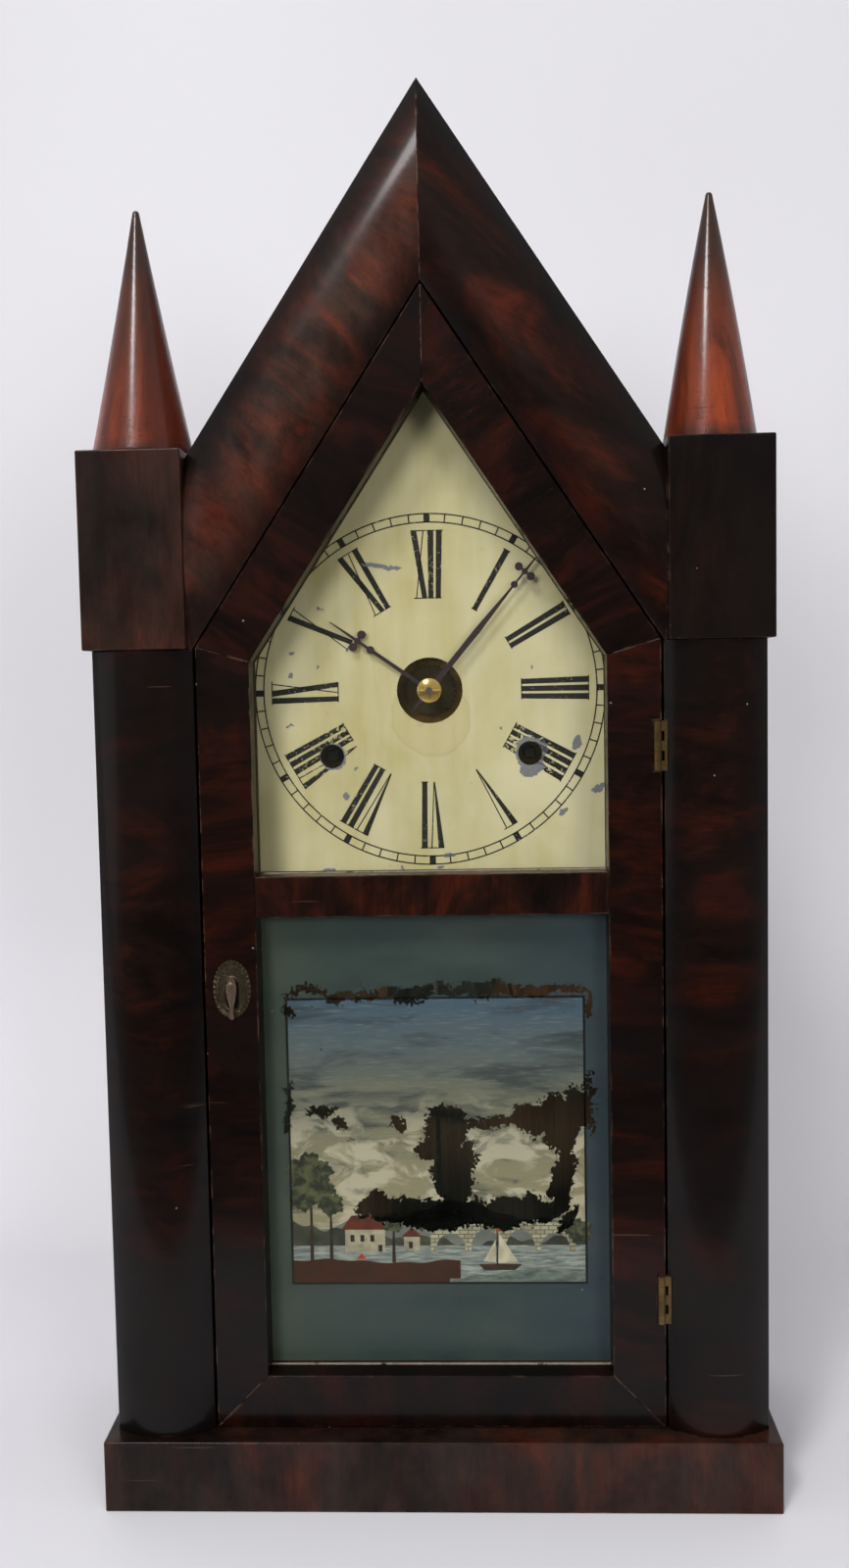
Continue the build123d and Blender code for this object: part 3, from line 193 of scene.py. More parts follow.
# %% Paper sweep, lamps and the room's own light
floor_level = -0.2 * mm
wall_y = 0.33
sweep_radius = 0.16
sweep_half_width = 2.2
sweep_front = -0.28
sweep_top = 1.9
sweep_steps = 24


def grid_faces(rows, columns, closed_rows=False, closed_columns=False):
    """Four-sided faces between neighbours on a grid whose point number is row * columns + column."""
    row = np.arange(rows if closed_rows else rows - 1)
    column = np.arange(columns if closed_columns else columns - 1)
    r, c = (a.ravel() for a in np.meshgrid(row, column, indexing="ij"))
    r_next, c_next = (r + 1) % rows, (c + 1) % columns
    corners = (r * columns + c, r * columns + c_next, r_next * columns + c_next, r_next * columns + c)
    return np.stack(corners, axis=-1)


def sweep_points():
    """Floor line, then centre + radius * (sin t, -cos t) for t from 0 to a right angle, then wall."""
    t = np.linspace(0, math.pi / 2, sweep_steps)
    y = wall_y - sweep_radius + sweep_radius * np.sin(t)
    z = floor_level + sweep_radius - sweep_radius * np.cos(t)
    y = np.concatenate(([sweep_front], y, [wall_y]))
    z = np.concatenate(([floor_level], z, [sweep_top]))
    x = np.array([[-sweep_half_width], [sweep_half_width]]) + 0 * y
    return np.stack((x, np.broadcast_to(y, x.shape), np.broadcast_to(z, x.shape)), axis=-1).reshape(-1, 3)


def make_sweep():
    sheet = bpy.data.materials.new("paper_sweep")
    sheet.use_nodes = True
    tree = sheet.node_tree
    tree.nodes.clear()
    place = put(tree, "TexCoord").outputs["Object"]
    tint = mix(tree, stretch(tree, noise(tree, place, 1.3, 2.0), 0.35, 0.65), paint(218, 216, 220),
               paint(228, 227, 232))
    paper = put(tree, "BsdfDiffuse", {"Color": tint})
    clear = put(tree, "BsdfTransparent")
    behind = put(tree, "NewGeometry").outputs["Backfacing"]
    chosen = put(tree, "MixShader", {0: behind, 1: paper.outputs[0], 2: clear.outputs[0]})
    put(tree, "OutputMaterial", {"Surface": chosen.outputs[0]})
    mesh = bpy.data.meshes.new("paper_sweep")
    mesh.from_pydata(sweep_points().tolist(), [], grid_faces(2, sweep_steps + 2).tolist())
    mesh.materials.append(sheet)
    if mesh.polygons[0].normal.z < 0:
        mesh.flip_normals()
    mesh.shade_smooth()
    sweep = bpy.data.objects.new("paper_sweep", mesh)
    scene.collection.objects.link(sweep)


def lamp(name, place, aim, size, power, mirrored=True):
    """A round soft lamp. One that isn't mirrored fills the shadows and leaves no gleam on varnish."""
    data = bpy.data.lights.new(name, "AREA")
    data.shape = "DISK"
    data.size, data.energy = size, power
    thing = bpy.data.objects.new(name, data)
    thing.location = place
    thing.rotation_euler = (Vector(aim) - Vector(place)).to_track_quat("-Z", "Y").to_euler()
    thing.visible_glossy = mirrored
    scene.collection.objects.link(thing)


def room_light():
    """Light from the room: strongest from above and behind, weak from the dark room in front."""
    world = bpy.data.worlds.new("room")
    world.use_nodes = True
    tree = world.node_tree
    tree.nodes.clear()
    way = put(tree, "SeparateXYZ", {0: put(tree, "TexCoord").outputs["Generated"]})
    level = maths(tree, "MULTIPLY_ADD", way.outputs["Z"], 0.35, 0.40)
    level = maths(tree, "MULTIPLY_ADD", way.outputs["Y"], 0.30, level)
    level = maths(tree, "MAXIMUM", level, 0.06)
    seen = put(tree, "LightPath").outputs["Is Camera Ray"]
    strength = put(tree, "Mix", {0: seen, 2: level, 3: 0.82}, data_type="FLOAT").outputs[0]
    back = put(tree, "Background", {"Color": (1.0, 1.0, 1.0, 1.0), "Strength": strength})
    put(tree, "OutputWorld", {"Surface": back.outputs[0]})
    scene.world = world


make_sweep()
clock_middle = (0, 0, 0.25)
lamp("steep_lamp", (-0.40, -0.95, 1.25), clock_middle, 0.30, 7.5)
lamp("left_lamp", (-0.45, -1.45, 0.60), clock_middle, 0.50, 11.5, mirrored=False)
lamp("right_lamp", (0.65, -1.40, 0.45), clock_middle, 0.50, 7.0, mirrored=False)
lamp("left_window", (-1.25, -0.55, 0.35), (0, 0, 0.30), 0.7, 0.7)
room_light()
print("paper sweep and", len(bpy.data.lights), "lamps")

# %% [markdown]
# ## Effects that several finishes share
# Old veneer shows four things at once: soft clouds, narrower bands, hair-fine streaks and open pores,
# all drawn out along the grain. Worn edges, dust and tarnish come back on most pieces too. Each is
# built once as a node group, so that every wood or metal can take it in its own amount. An image
# would do for one board, but a formula stays sharp on every piece and never repeats.

# %% Veneer, edge wear, dust and tarnish as node groups
def make_veneer():
    """Noise stretched along X: the nearer the two scales of a layer, the rounder its marks."""
    tree, given, result = node_group(
        "veneer",
        [("Vector", "Vector", None), ("Swirl", "Float", 1.0)],
        [("Cloud", "Float"), ("Band", "Float"), ("Streak", "Float"), ("Pore", "Float")],
    )
    vector = given["Vector"]
    layers = {
        "Cloud": noise(tree, scaled(tree, vector, 13, 34, 34), 1.0, 9.0, 0.66, given["Swirl"]),
        "Band": noise(tree, scaled(tree, vector, 9, 120, 120), 1.0, 6.0, 0.65, 0.9),
        "Streak": noise(tree, scaled(tree, vector, 60, 1100, 1100), 1.0, 4.0, 0.65),
        "Pore": noise(tree, scaled(tree, vector, 300, 3200, 3200), 1.0, 2.0),
    }
    for label, value in layers.items():
        tree.links.new(value, result[label])
    return tree


def make_edge_wear():
    """Where the surface's own direction differs from one averaged over a radius, broken up by noise."""
    tree, given, result = node_group(
        "edge_wear",
        [("Vector", "Vector", None), ("Radius", "Float", 0.8 * mm), ("Amount", "Float", 1.0)],
        [("Mask", "Float")],
    )
    rounded = put(tree, "Bevel", {"Radius": given["Radius"]}, samples=4).outputs[0]
    plain = put(tree, "NewGeometry").outputs["Normal"]
    agree = put(tree, "VectorMath", {0: rounded, 1: plain}, operation="DOT_PRODUCT").outputs["Value"]
    edge = stretch(tree, agree, 0.995, 0.86)
    rough = stretch(tree, noise(tree, given["Vector"], 130.0, 6.0, 0.7), 0.50, 0.60)
    worn = maths(tree, "MULTIPLY", maths(tree, "MULTIPLY", edge, rough), given["Amount"])
    tree.links.new(worn, result["Mask"])
    return tree


def make_specks():
    """Round specks: near the middle of a cell, in the few cells whose random number is high enough."""
    tree, given, result = node_group(
        "specks",
        [("Vector", "Vector", None), ("Scale", "Float", 150.0), ("Rarity", "Float", 0.9)],
        [("Mask", "Float")],
    )
    cells = put(tree, "TexVoronoi", {"Vector": given["Vector"], "Scale": given["Scale"]})
    chance = put(tree, "SeparateColor", {0: cells.outputs["Color"]})
    chosen = maths(tree, "GREATER_THAN", chance.outputs[0], given["Rarity"])
    reach = maths(tree, "MULTIPLY_ADD", chance.outputs[1], 0.05, 0.02)
    near = maths(tree, "LESS_THAN", cells.outputs["Distance"], reach)
    tree.links.new(maths(tree, "MULTIPLY", chosen, near), result["Mask"])
    return tree


def make_tarnish():
    """Brown and dull patches in soft edges, with small spots inside them."""
    tree, given, result = node_group(
        "tarnish",
        [("Vector", "Vector", None), ("Scale", "Float", 60.0)],
        [("Patch", "Float"), ("Spot", "Float")],
    )
    patch = noise(tree, given["Vector"], given["Scale"], 6.0, 0.65, 0.6)
    fine = maths(tree, "MULTIPLY", given["Scale"], 9.0)
    spot = noise(tree, given["Vector"], fine, 4.0, 0.6)
    tree.links.new(stretch(tree, patch, 0.42, 0.66), result["Patch"])
    tree.links.new(stretch(tree, spot, 0.58, 0.70), result["Spot"])
    return tree


veneer, edge_wear, specks, tarnish = make_veneer(), make_edge_wear(), make_specks(), make_tarnish()


def flecks(tree, place, scale, rarity):
    fields = {"Vector": place, "Scale": scale, "Rarity": rarity}
    return put(tree, "Group", fields, node_tree=specks).outputs[0]


def worn_edges(tree, place, amount, radius=0.8 * mm):
    fields = {"Vector": place, "Radius": radius, "Amount": amount}
    return put(tree, "Group", fields, node_tree=edge_wear).outputs[0]

print("shared effects", [group.name for group in bpy.data.node_groups])

# %% [markdown]
# ## Varnished mahogany
# The case is softwood under a thin veneer of mahogany, stained dark and varnished, and a century and
# a half have turned most of it nearly black with red showing through. The veneer is laid with its
# grain across the round columns and stiles and at a slant on the gable, so each member needs the
# same wood turned to its own angle. One function takes that angle and a shift, so that no two boards
# show the same figure. A clear coat stands for the varnish, and its own soft waves break the light.
# The spires are turned from a paler wood, and the boards inside and behind are plain pine.

# %% The wood finishes
def finish(name, **constants):
    """A new material with one Principled shader, whose unchanging sockets are set here."""
    material = bpy.data.materials.new(name)
    material.use_nodes = True
    tree = material.node_tree
    shader = tree.nodes["Principled BSDF"]
    for label, value in constants.items():
        shader.inputs[label.replace("_", " ")].default_value = value
    return material, tree, shader, put(tree, "TexCoord").outputs["Object"]


def relief(tree, shader, height, distance, strength=1.0):
    bump = put(tree, "Bump", {"Strength": strength, "Distance": distance, "Height": height})
    tree.links.new(bump.outputs[0], shader.inputs["Normal"])


def varnish_waves(tree, place):
    """Low waves in old varnish, a few millimetres to a few centimetres across."""
    broad = noise(tree, place, 22.0, 3.0, 0.5)
    small = noise(tree, place, 240.0, 3.0, 0.5)
    return maths(tree, "MULTIPLY_ADD", small, 0.10, broad)


# The gable climbs by its rise for each unit across, and its mouldings' middle lines meet at this height.
gable_rise = 1.5115
gable_middle = 469.4 * mm


def mahogany(name, turn, shift, red=0.5, black=0.5, swirl=1.6, bloom_and_sheen=0.15, foot_shade=0.0, round_x=None,
             tone=0.6, sloping=False):
    """Grain at an angle from X, seen from the front. Each share moves where its own colour begins.
    The tone darkens the whole figure, and the foot_shade is painted shade that darkens it further towards the
    ground.
    On a sloping moulding, painted shade grows away from its middle line, z + |x| * gable_rise = gable_middle,
    and a painted highlight runs along that line. A column gets painted shade towards its sides and a painted
    highlight down its middle line, in place of the light on its round front."""
    wood, tree, shader, place = finish(
        name, Roughness=0.42, Coat_Weight=0.18, Coat_Roughness=0.14, Specular_IOR_Level=0.10)
    fields = {"Vector": place, "Rotation": (0, math.radians(turn), 0), "Location": shift}
    along = put(tree, "Mapping", fields).outputs[0]
    figure = put(tree, "Group", {"Vector": along, "Swirl": swirl}, node_tree=veneer).outputs
    start = 0.60 - 0.2 * red
    dark_to_brown = stretch(tree, figure["Cloud"], start - 0.16, start)
    colour = mix(tree, dark_to_brown, paint(13, 8, 6), paint(31, 15, 10))
    colour = mix(tree, stretch(tree, figure["Cloud"], start, start + 0.17), colour, paint(62, 23, 13))
    banded = maths(tree, "MULTIPLY_ADD", figure["Band"], 1.4, 0.30)
    streaked = maths(tree, "MULTIPLY", banded, maths(tree, "MULTIPLY_ADD", figure["Streak"], 1.1, 0.42))
    height = axis(tree, place, "Z")
    # Painted shade: the figure darkens towards the ground by the foot_shade share.
    tone_and_foot_shade = stretch(tree, height, 60 * mm, 280 * mm, tone * (1.0 - foot_shade), tone)
    streaked = maths(tree, "MULTIPLY", streaked, tone_and_foot_shade)
    # Painted shade towards a column's sides and a painted highlight down its middle, for its round front.
    if round_x is not None:
        across = maths(tree, "SUBTRACT", axis(tree, place, "X"), round_x * mm)
        painted_column_light = stretch(tree, maths(tree, "ABSOLUTE", across), 5 * mm, 17 * mm, 1.15, 0.35)
        streaked = maths(tree, "MULTIPLY", streaked, painted_column_light)
    # Painted shade towards a moulding's edges and a painted highlight along its middle line.
    if sloping:
        side = maths(tree, "ABSOLUTE", axis(tree, place, "X"))
        fallen = maths(tree, "MULTIPLY_ADD", side, gable_rise, height)
        off_middle = maths(tree, "ABSOLUTE", maths(tree, "SUBTRACT", fallen, gable_middle))
        painted_moulding_light = stretch(tree, off_middle, 34 * mm, 4 * mm, 0.2, 1.9)
        streaked = maths(tree, "MULTIPLY", streaked, painted_moulding_light)
    grey = put(tree, "CombineColor", {0: streaked, 1: streaked, 2: streaked}).outputs[0]
    colour = mix(tree, 1.0, colour, grey, "MULTIPLY")
    pore = stretch(tree, figure["Pore"], 0.60, 0.68)
    colour = mix(tree, maths(tree, "MULTIPLY", pore, 0.6), colour, paint(8, 6, 5))
    smoke = noise(tree, scaled(tree, along, 6, 14, 14), 1.0, 8.0, 0.62, 0.8)
    smoky = stretch(tree, smoke, 0.66 - 0.3 * black, 0.80 - 0.3 * black, 0.0, 0.85)
    colour = mix(tree, smoky, colour, paint(13, 9, 8))
    # A pale veil in soft patches, partly the bloom of old varnish and partly a painted sheen; on a sloping
    # moulding the painted highlight band shapes it.
    haze = noise(tree, scaled(tree, place, 1.0, 1.0, 0.55), 30.0, 9.0, 0.72)
    film = stretch(tree, haze, 0.40, 0.72, 0.0, bloom_and_sheen)
    if sloping:
        film = maths(tree, "MULTIPLY", film, painted_moulding_light)
    colour = mix(tree, film, colour, paint(120, 100, 88))
    colour = mix(tree, worn_edges(tree, place, 0.7), colour, paint(108, 80, 64))
    hairs = noise(tree, scaled(tree, place, 16, 16, 480), 1.0, 2.0, 0.5, 0.2)
    colour = mix(tree, stretch(tree, hairs, 0.755, 0.770, 0.0, 0.4), colour, paint(80, 56, 44))
    dust = flecks(tree, place, 170.0, 0.955)
    colour = mix(tree, maths(tree, "MULTIPLY", dust, 0.6), colour, paint(150, 138, 128))
    tree.links.new(colour, shader.inputs["Base Color"])
    dull = maths(tree, "MULTIPLY_ADD", smoke, 0.3, 0.16)
    dull = maths(tree, "MAXIMUM", dull, maths(tree, "MULTIPLY", dust, 0.9))
    tree.links.new(dull, shader.inputs["Roughness"])
    waves = maths(tree, "MULTIPLY_ADD", pore, -0.05, varnish_waves(tree, place))
    relief(tree, shader, waves, 0.35 * mm, 0.8)
    return wood


foot_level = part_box("left_block")[1].z
tip_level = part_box("left_finial")[1].z


def spire_wood(name, lean):
    """Turned maple stained orange-brown: streaks up the spire, a black foot and a smoky tip."""
    wood, tree, shader, place = finish(name, Coat_Weight=0.45, Coat_Roughness=0.16, Specular_IOR_Level=0.2)
    height = axis(tree, place, "Z")
    broad = noise(tree, scaled(tree, place, 75, 75, 6), 1.0, 4.0, 0.55, lean)
    thin = noise(tree, scaled(tree, place, 700, 700, 30), 1.0, 3.0)
    colour = mix(tree, stretch(tree, broad, 0.36, 0.64), paint(76, 28, 14), paint(134, 55, 25))
    colour = mix(tree, stretch(tree, thin, 0.48, 0.75, 0.0, 0.5), colour, paint(88, 34, 18))
    ragged = maths(tree, "MULTIPLY_ADD", noise(tree, place, 90.0, 3.0), 16 * mm, height)
    smoky = stretch(tree, ragged, tip_level - 66 * mm, tip_level - 12 * mm, 0.0, 0.92)
    colour = mix(tree, smoky, colour, paint(40, 28, 22))
    soot = noise(tree, scaled(tree, place, 60, 60, 9), 1.0, 7.0, 0.65, lean)
    colour = mix(tree, stretch(tree, soot, 0.50, 0.68, 0.0, 0.75), colour, paint(46, 22, 14))
    foot = stretch(tree, ragged, foot_level + 13.5 * mm, foot_level + 7.5 * mm, 0.0, 0.85)
    colour = mix(tree, foot, colour, paint(34, 24, 18))
    tree.links.new(colour, shader.inputs["Base Color"])
    tree.links.new(stretch(tree, thin, 0.3, 0.7, 0.25, 0.45), shader.inputs["Roughness"])
    grit = noise(tree, scaled(tree, place, 1, 1, 2.5), 700.0, 4.0, 0.7)
    cracks = stretch(tree, noise(tree, scaled(tree, place, 1, 1, 9), 110.0, 4.0, 0.7), 0.62, 0.66)
    height = maths(tree, "MULTIPLY_ADD", grit, 0.55, varnish_waves(tree, place))
    relief(tree, shader, maths(tree, "MULTIPLY_ADD", cracks, -0.5, height), 0.16 * mm, 0.9)
    return wood


board_low, board_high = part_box("back_board")
board_middle = (board_low.y + board_high.y) / 2


def pine(name, turn, pale, deep, painted_top_shade=0.0):
    """Bare softwood: wide soft bands and thin darker lines along the grain, browned by age.
    The inside of the back board gets painted shade near its top, under the dial and the movement."""
    wood, tree, shader, place = finish(name, Specular_IOR_Level=0.3)
    along = put(tree, "Mapping", {"Vector": place, "Rotation": (0, math.radians(turn), 0)}).outputs[0]
    rings = noise(tree, scaled(tree, along, 5, 150, 150), 1.0, 3.0, 0.5, 0.5)
    hair = noise(tree, scaled(tree, along, 40, 1400, 1400), 1.0, 2.0)
    colour = mix(tree, stretch(tree, rings, 0.40, 0.62), paint(*pale), paint(*deep))
    colour = mix(tree, stretch(tree, hair, 0.50, 0.70, 0.0, 0.5), colour, paint(70, 44, 24))
    stain = stretch(tree, noise(tree, place, 14.0, 5.0, 0.6), 0.45, 0.72, 0.0, 0.6)
    colour = mix(tree, stain, colour, paint(58, 38, 24))
    # Painted shade high up on the board's inside face.
    high = stretch(tree, axis(tree, place, "Z"), 166 * mm, 184 * mm, 0.0, painted_top_shade)
    inside = stretch(tree, axis(tree, place, "Y"), board_middle + 0.5 * mm, board_middle - 0.5 * mm)
    colour = mix(tree, maths(tree, "MULTIPLY", high, inside), colour, paint(22, 17, 13))
    tree.links.new(colour, shader.inputs["Base Color"])
    tree.links.new(stretch(tree, rings, 0.3, 0.7, 0.75, 0.9), shader.inputs["Roughness"])
    relief(tree, shader, hair, 0.15 * mm, 0.6)
    return wood


back_pine = pine("back_pine", 90, (112, 79, 46), (88, 58, 32), 0.95)
inner_pine = pine("inner_pine", 90, (122, 88, 52), (94, 64, 36), 0.95)
bead_pine = pine("bead_pine", 90, (34, 22, 16), (22, 14, 11))
print("spire from", round(foot_level / mm, 1), "to", round(tip_level / mm, 1), "mm")

# %% [markdown]
# ## Metals, glass and paint on metal
# Brass that nobody polishes goes brown in patches. The patches are duller than the bare metal, and
# less metallic, because what covers them is a film of oxide, so one mask drives all three. The hands
# are steel blued by heat, which ages to a purple brown. The panes are clear glass, made with a low
# alpha, because light that has to bend through two faces would leave the dial noisy and dark.

# %% The metal and glass finishes
def metal(name, bare, aged, scale=60.0, rough=(0.26, 0.55), spot=(40, 28, 20), wear=0.0, rubbed=None):
    """Bare metal that turns to its aged colour in patches, with darker spots and rubbed edges."""
    kind, tree, shader, place = finish(name)
    marks = put(tree, "Group", {"Vector": place, "Scale": scale}, node_tree=tarnish).outputs
    colour = mix(tree, marks["Patch"], paint(*bare), paint(*aged))
    colour = mix(tree, maths(tree, "MULTIPLY", marks["Spot"], 0.7), colour, paint(*spot))
    if wear:
        worn = worn_edges(tree, place, wear, 0.25 * mm)
        colour = mix(tree, worn, colour, paint(*(rubbed or bare)))
    tree.links.new(colour, shader.inputs["Base Color"])
    dull = maths(tree, "MAXIMUM", marks["Patch"], marks["Spot"])
    tree.links.new(stretch(tree, dull, 0.0, 1.0, *rough), shader.inputs["Roughness"])
    tree.links.new(stretch(tree, dull, 0.0, 1.0, 0.85, 0.45), shader.inputs["Metallic"])
    relief(tree, shader, noise(tree, place, scale * 12, 3.0), 0.03 * mm, 0.5)
    return kind


def pane_glass(name):
    """Old window glass: almost clear, with dirt that dims it slightly in soft patches."""
    glass, tree, shader, place = finish(name, Roughness=0.04, Specular_IOR_Level=0.8)
    shader.inputs["Base Color"].default_value = paint(120, 128, 112)
    film = stretch(tree, noise(tree, place, 26.0, 5.0, 0.6), 0.35, 0.75, 0.008, 0.035)
    dirt = maths(tree, "MULTIPLY_ADD", flecks(tree, place, 120.0, 0.95), 0.35, film)
    tree.links.new(dirt, shader.inputs["Alpha"])
    relief(tree, shader, noise(tree, place, 9.0, 2.0), 0.3 * mm, 0.25)
    return glass


movement_brass = metal("movement_brass", (176, 142, 78), (112, 84, 44), 55.0, wear=0.8)
hinge_brass = metal("hinge_brass", (112, 90, 52), (50, 38, 26), 160.0, (0.35, 0.6), wear=0.7)
washer_brass = metal("washer_brass", (214, 182, 106), (176, 140, 72), 200.0, (0.2, 0.4))
escutcheon_bronze = metal(
    "escutcheon_bronze", (78, 68, 50), (34, 29, 23), 260.0, (0.3, 0.6), (18, 15, 12), 1.0, (206, 186, 140))
black_iron = metal("black_iron", (40, 37, 35), (22, 20, 19), 120.0, (0.35, 0.6), (30, 20, 16))
hour_brass = metal("hour_brass", (96, 84, 52), (52, 44, 28), 130.0, (0.3, 0.55), (24, 20, 14), 0.8)
grey_steel = metal("grey_steel", (132, 130, 128), (84, 78, 74), 90.0, (0.24, 0.5), (62, 40, 28))
blued_steel = metal("blued_steel", (92, 74, 78), (56, 42, 46), 120.0, (0.3, 0.5), (30, 22, 20), 0.6)
spring_steel = metal("spring_steel", (78, 70, 66), (50, 40, 36), 80.0, (0.3, 0.5), (54, 32, 22))
bob_brass = metal("bob_brass", (164, 130, 72), (110, 84, 48), 70.0, (0.22, 0.48))
cast_iron = metal("cast_iron", (70, 66, 64), (44, 38, 36), 140.0, (0.6, 0.8), (60, 36, 26))
latch_brown = metal("latch_brown", (132, 112, 96), (84, 66, 54), 240.0, (0.28, 0.5), (40, 28, 22), 0.5)
clear_glass = pane_glass("clear_glass")
print("materials", len(bpy.data.materials))

# %% [markdown]
# ## Making a piece from arrays
# A surface here is worked out as whole numpy arrays and handed to Blender in one go, which is quick
# and keeps the formula in sight. Flat things, such as a painted numeral, are an outline with a front
# and a back. Normals are made to point outwards once, at the end, so the outline may run either way.

# %% Helpers that turn arrays into pieces
def add_piece(name, points, faces, material, body, slot=None, sharp=35.0):
    """Puts points and faces into a mesh, turns its faces outwards, shades it and lets it ride."""
    mesh = bpy.data.meshes.new(name)
    mesh.from_pydata(np.asarray(points, float).tolist(), [], [list(face) for face in faces])
    work = bmesh.new()
    work.from_mesh(mesh)
    bmesh.ops.recalc_face_normals(work, faces=work.faces)
    work.to_mesh(mesh)
    work.free()
    mesh.materials.append(material)
    mesh.shade_smooth()
    mesh.set_sharp_from_angle(angle=math.radians(sharp))
    thing = bpy.data.objects.new(name, mesh)
    scene.collection.objects.link(thing)
    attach(thing, body)
    return thing


def slab(outline, front, back):
    """A flat shape: its outline in X and Z, once at the front depth and once at the back."""
    outline = np.asarray(outline, float)
    count = len(outline)
    points = np.vstack((np.insert(outline, 1, front, axis=1), np.insert(outline, 1, back, axis=1)))
    ring = np.arange(count)
    after = (ring + 1) % count
    sides = np.stack((ring, after, after + count, ring + count), axis=-1)
    return points, [ring.tolist(), (ring + count)[::-1].tolist(), *sides.tolist()]


def ring(x, z, inner, outer, front, back, steps=240):
    """A flat ring about (x, z): two circles, each at the front depth and at the back one."""
    t = np.linspace(0, 2 * math.pi, steps, endpoint=False)
    loops = [(inner, front), (outer, front), (outer, back), (inner, back)]
    circles = [np.stack((x + radius * np.sin(t), 0 * t + y, z + radius * np.cos(t)), axis=-1)
               for radius, y in loops]
    return np.vstack(circles), grid_faces(4, steps, True, True).tolist()


def disc(x, z, radius, front, back, steps=32):
    t = np.linspace(0, 2 * math.pi, steps, endpoint=False)
    return slab(np.stack((x + radius * np.sin(t), z + radius * np.cos(t)), axis=-1), front, back)


def gathered(parts):
    """Several shapes as one: the points in a row, and each face's numbers moved up to suit."""
    starts = np.cumsum([0] + [len(points) for points, _ in parts])
    faces = [[corner + start for corner in face]
             for (_, shape), start in zip(parts, starts) for face in shape]
    return np.vstack([points for points, _ in parts]), faces


def rounded_copy(node, material, width):
    """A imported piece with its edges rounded: its triangles merged, its flat faces joined, then bevelled."""
    source = frame["nodes"][node].data
    places = np.zeros(len(source.vertices) * 3, np.float32)
    source.vertices.foreach_get("co", places)
    corners = np.zeros(len(source.loops), np.int32)
    source.loops.foreach_get("vertex_index", corners)
    mesh = bpy.data.meshes.new("worn_" + node)
    mesh.from_pydata(places.reshape(-1, 3).tolist(), [], corners.reshape(-1, 3).tolist())
    work = bmesh.new()
    work.from_mesh(mesh)
    bmesh.ops.remove_doubles(work, verts=work.verts, dist=0.002 * mm)
    bmesh.ops.dissolve_limit(work, angle_limit=math.radians(0.2), verts=work.verts, edges=work.edges)
    work.to_mesh(mesh)
    work.free()
    mesh.materials.append(material)
    mesh.shade_smooth()
    thing = bpy.data.objects.new("worn_" + node, mesh)
    scene.collection.objects.link(thing)
    bevel = thing.modifiers.new("handled_edges", "BEVEL")
    bevel.width, bevel.segments = width, 3
    bevel.limit_method, bevel.angle_limit = "ANGLE", math.radians(25)
    bevel.harden_normals = True
    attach(thing, frame["nodes"][node]["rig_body"])
    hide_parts(node)


def wear(material, *nodes):
    """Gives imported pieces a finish."""
    for node in nodes:
        frame["nodes"][node].data.materials.clear()
        frame["nodes"][node].data.materials.append(material)


print("a slab of 4 corners has", len(slab(np.eye(4)[:, :2], 0, 1)[1]), "faces")

# %% [markdown]
# ## Dressing the case and the door
# Each wooden member gets its own cut of veneer. The members that a joiner leaves sharp in the drawing
# are shown by a copy with rounded edges, because a real edge always catches a line of light. The
# parts with curved mouldings are smooth already and only change their finish.

# %% Wooden members
gable_slope = math.degrees(math.atan(gable_rise))
column_x = 101.5
edge_radius = 0.45 * mm
# Each member has its grain's turn in degrees, its figure's shift and how much of each colour it shows, with
# its painted shade and sheen.
members = {
    "left_column": (0, (0.31, 0.0, 0.12),
                    dict(red=0.35, black=0.60, bloom_and_sheen=0.01, foot_shade=0.6, round_x=-column_x)),
    "right_column": (0, (0.83, 0.0, 0.55),
                     dict(red=0.50, black=0.55, bloom_and_sheen=0.01, foot_shade=0.6, round_x=column_x)),
    "left_gable_moulding": (-38, (0.2, 0.0, 0.9),
                            dict(red=0.75, black=0.40, bloom_and_sheen=0.12, tone=1.0, sloping=True)),
    "right_gable_moulding": (-30, (0.61, 0.0, 0.33),
                             dict(red=0.70, black=0.60, bloom_and_sheen=0.01, sloping=True)),
    "left_roof_board": (gable_slope, (0.11, 0.3, 0.7), dict(red=0.35, black=0.7)),
    "right_roof_board": (-gable_slope, (0.4, 0.2, 0.1), dict(red=0.35, black=0.7)),
    "left_side_board": (90, (0.7, 0.4, 0.2), dict(red=0.45, black=0.6)),
    "right_side_board": (90, (0.15, 0.9, 0.8), dict(red=0.45, black=0.6)),
    "left_stile": (4, (0.5, 0.0, 0.4), dict(red=0.50, black=0.60, bloom_and_sheen=0.0, foot_shade=0.45)),
    "right_stile": (-3, (0.92, 0.0, 0.21), dict(red=0.60, black=0.50, bloom_and_sheen=0.0, foot_shade=0.45)),
    "left_rafter": (-34, (0.37, 0.0, 0.74), dict(red=0.45, black=0.60, bloom_and_sheen=0.0, tone=0.5)),
    "right_rafter": (34, (0.05, 0.0, 0.02), dict(red=0.45, black=0.60, bloom_and_sheen=0.0, tone=0.5)),
    "mid_rail": (88, (0.44, 0.0, 0.65), dict(red=0.70, black=0.40, bloom_and_sheen=0.0, tone=0.9)),
    "bottom_rail": (90, (0.77, 0.0, 0.5), dict(red=0.50, black=0.65, bloom_and_sheen=0.0, foot_shade=0.5)),
}
for node, (turn, shift, shares) in members.items():
    rounded_copy(node, mahogany(node + "_veneer", turn, shift, **shares), edge_radius)
plain_members = {
    "base": (90, (0.25, 0.0, 0.35), dict(red=0.35, black=0.45, bloom_and_sheen=0.10, tone=1.0)),
    "left_block": (90, (0.6, 0.0, 0.1), dict(red=0.20, black=0.45, bloom_and_sheen=0.07, tone=1.8)),
    "right_block": (90, (0.9, 0.0, 0.6), dict(red=0.10, black=0.70, bloom_and_sheen=0.03, tone=0.8)),
}
for node, (turn, shift, shares) in plain_members.items():
    wear(mahogany(node + "_veneer", turn, shift, swirl=0.8, **shares), node)
wear(spire_wood("left_spire_wood", 0.6), "left_finial")
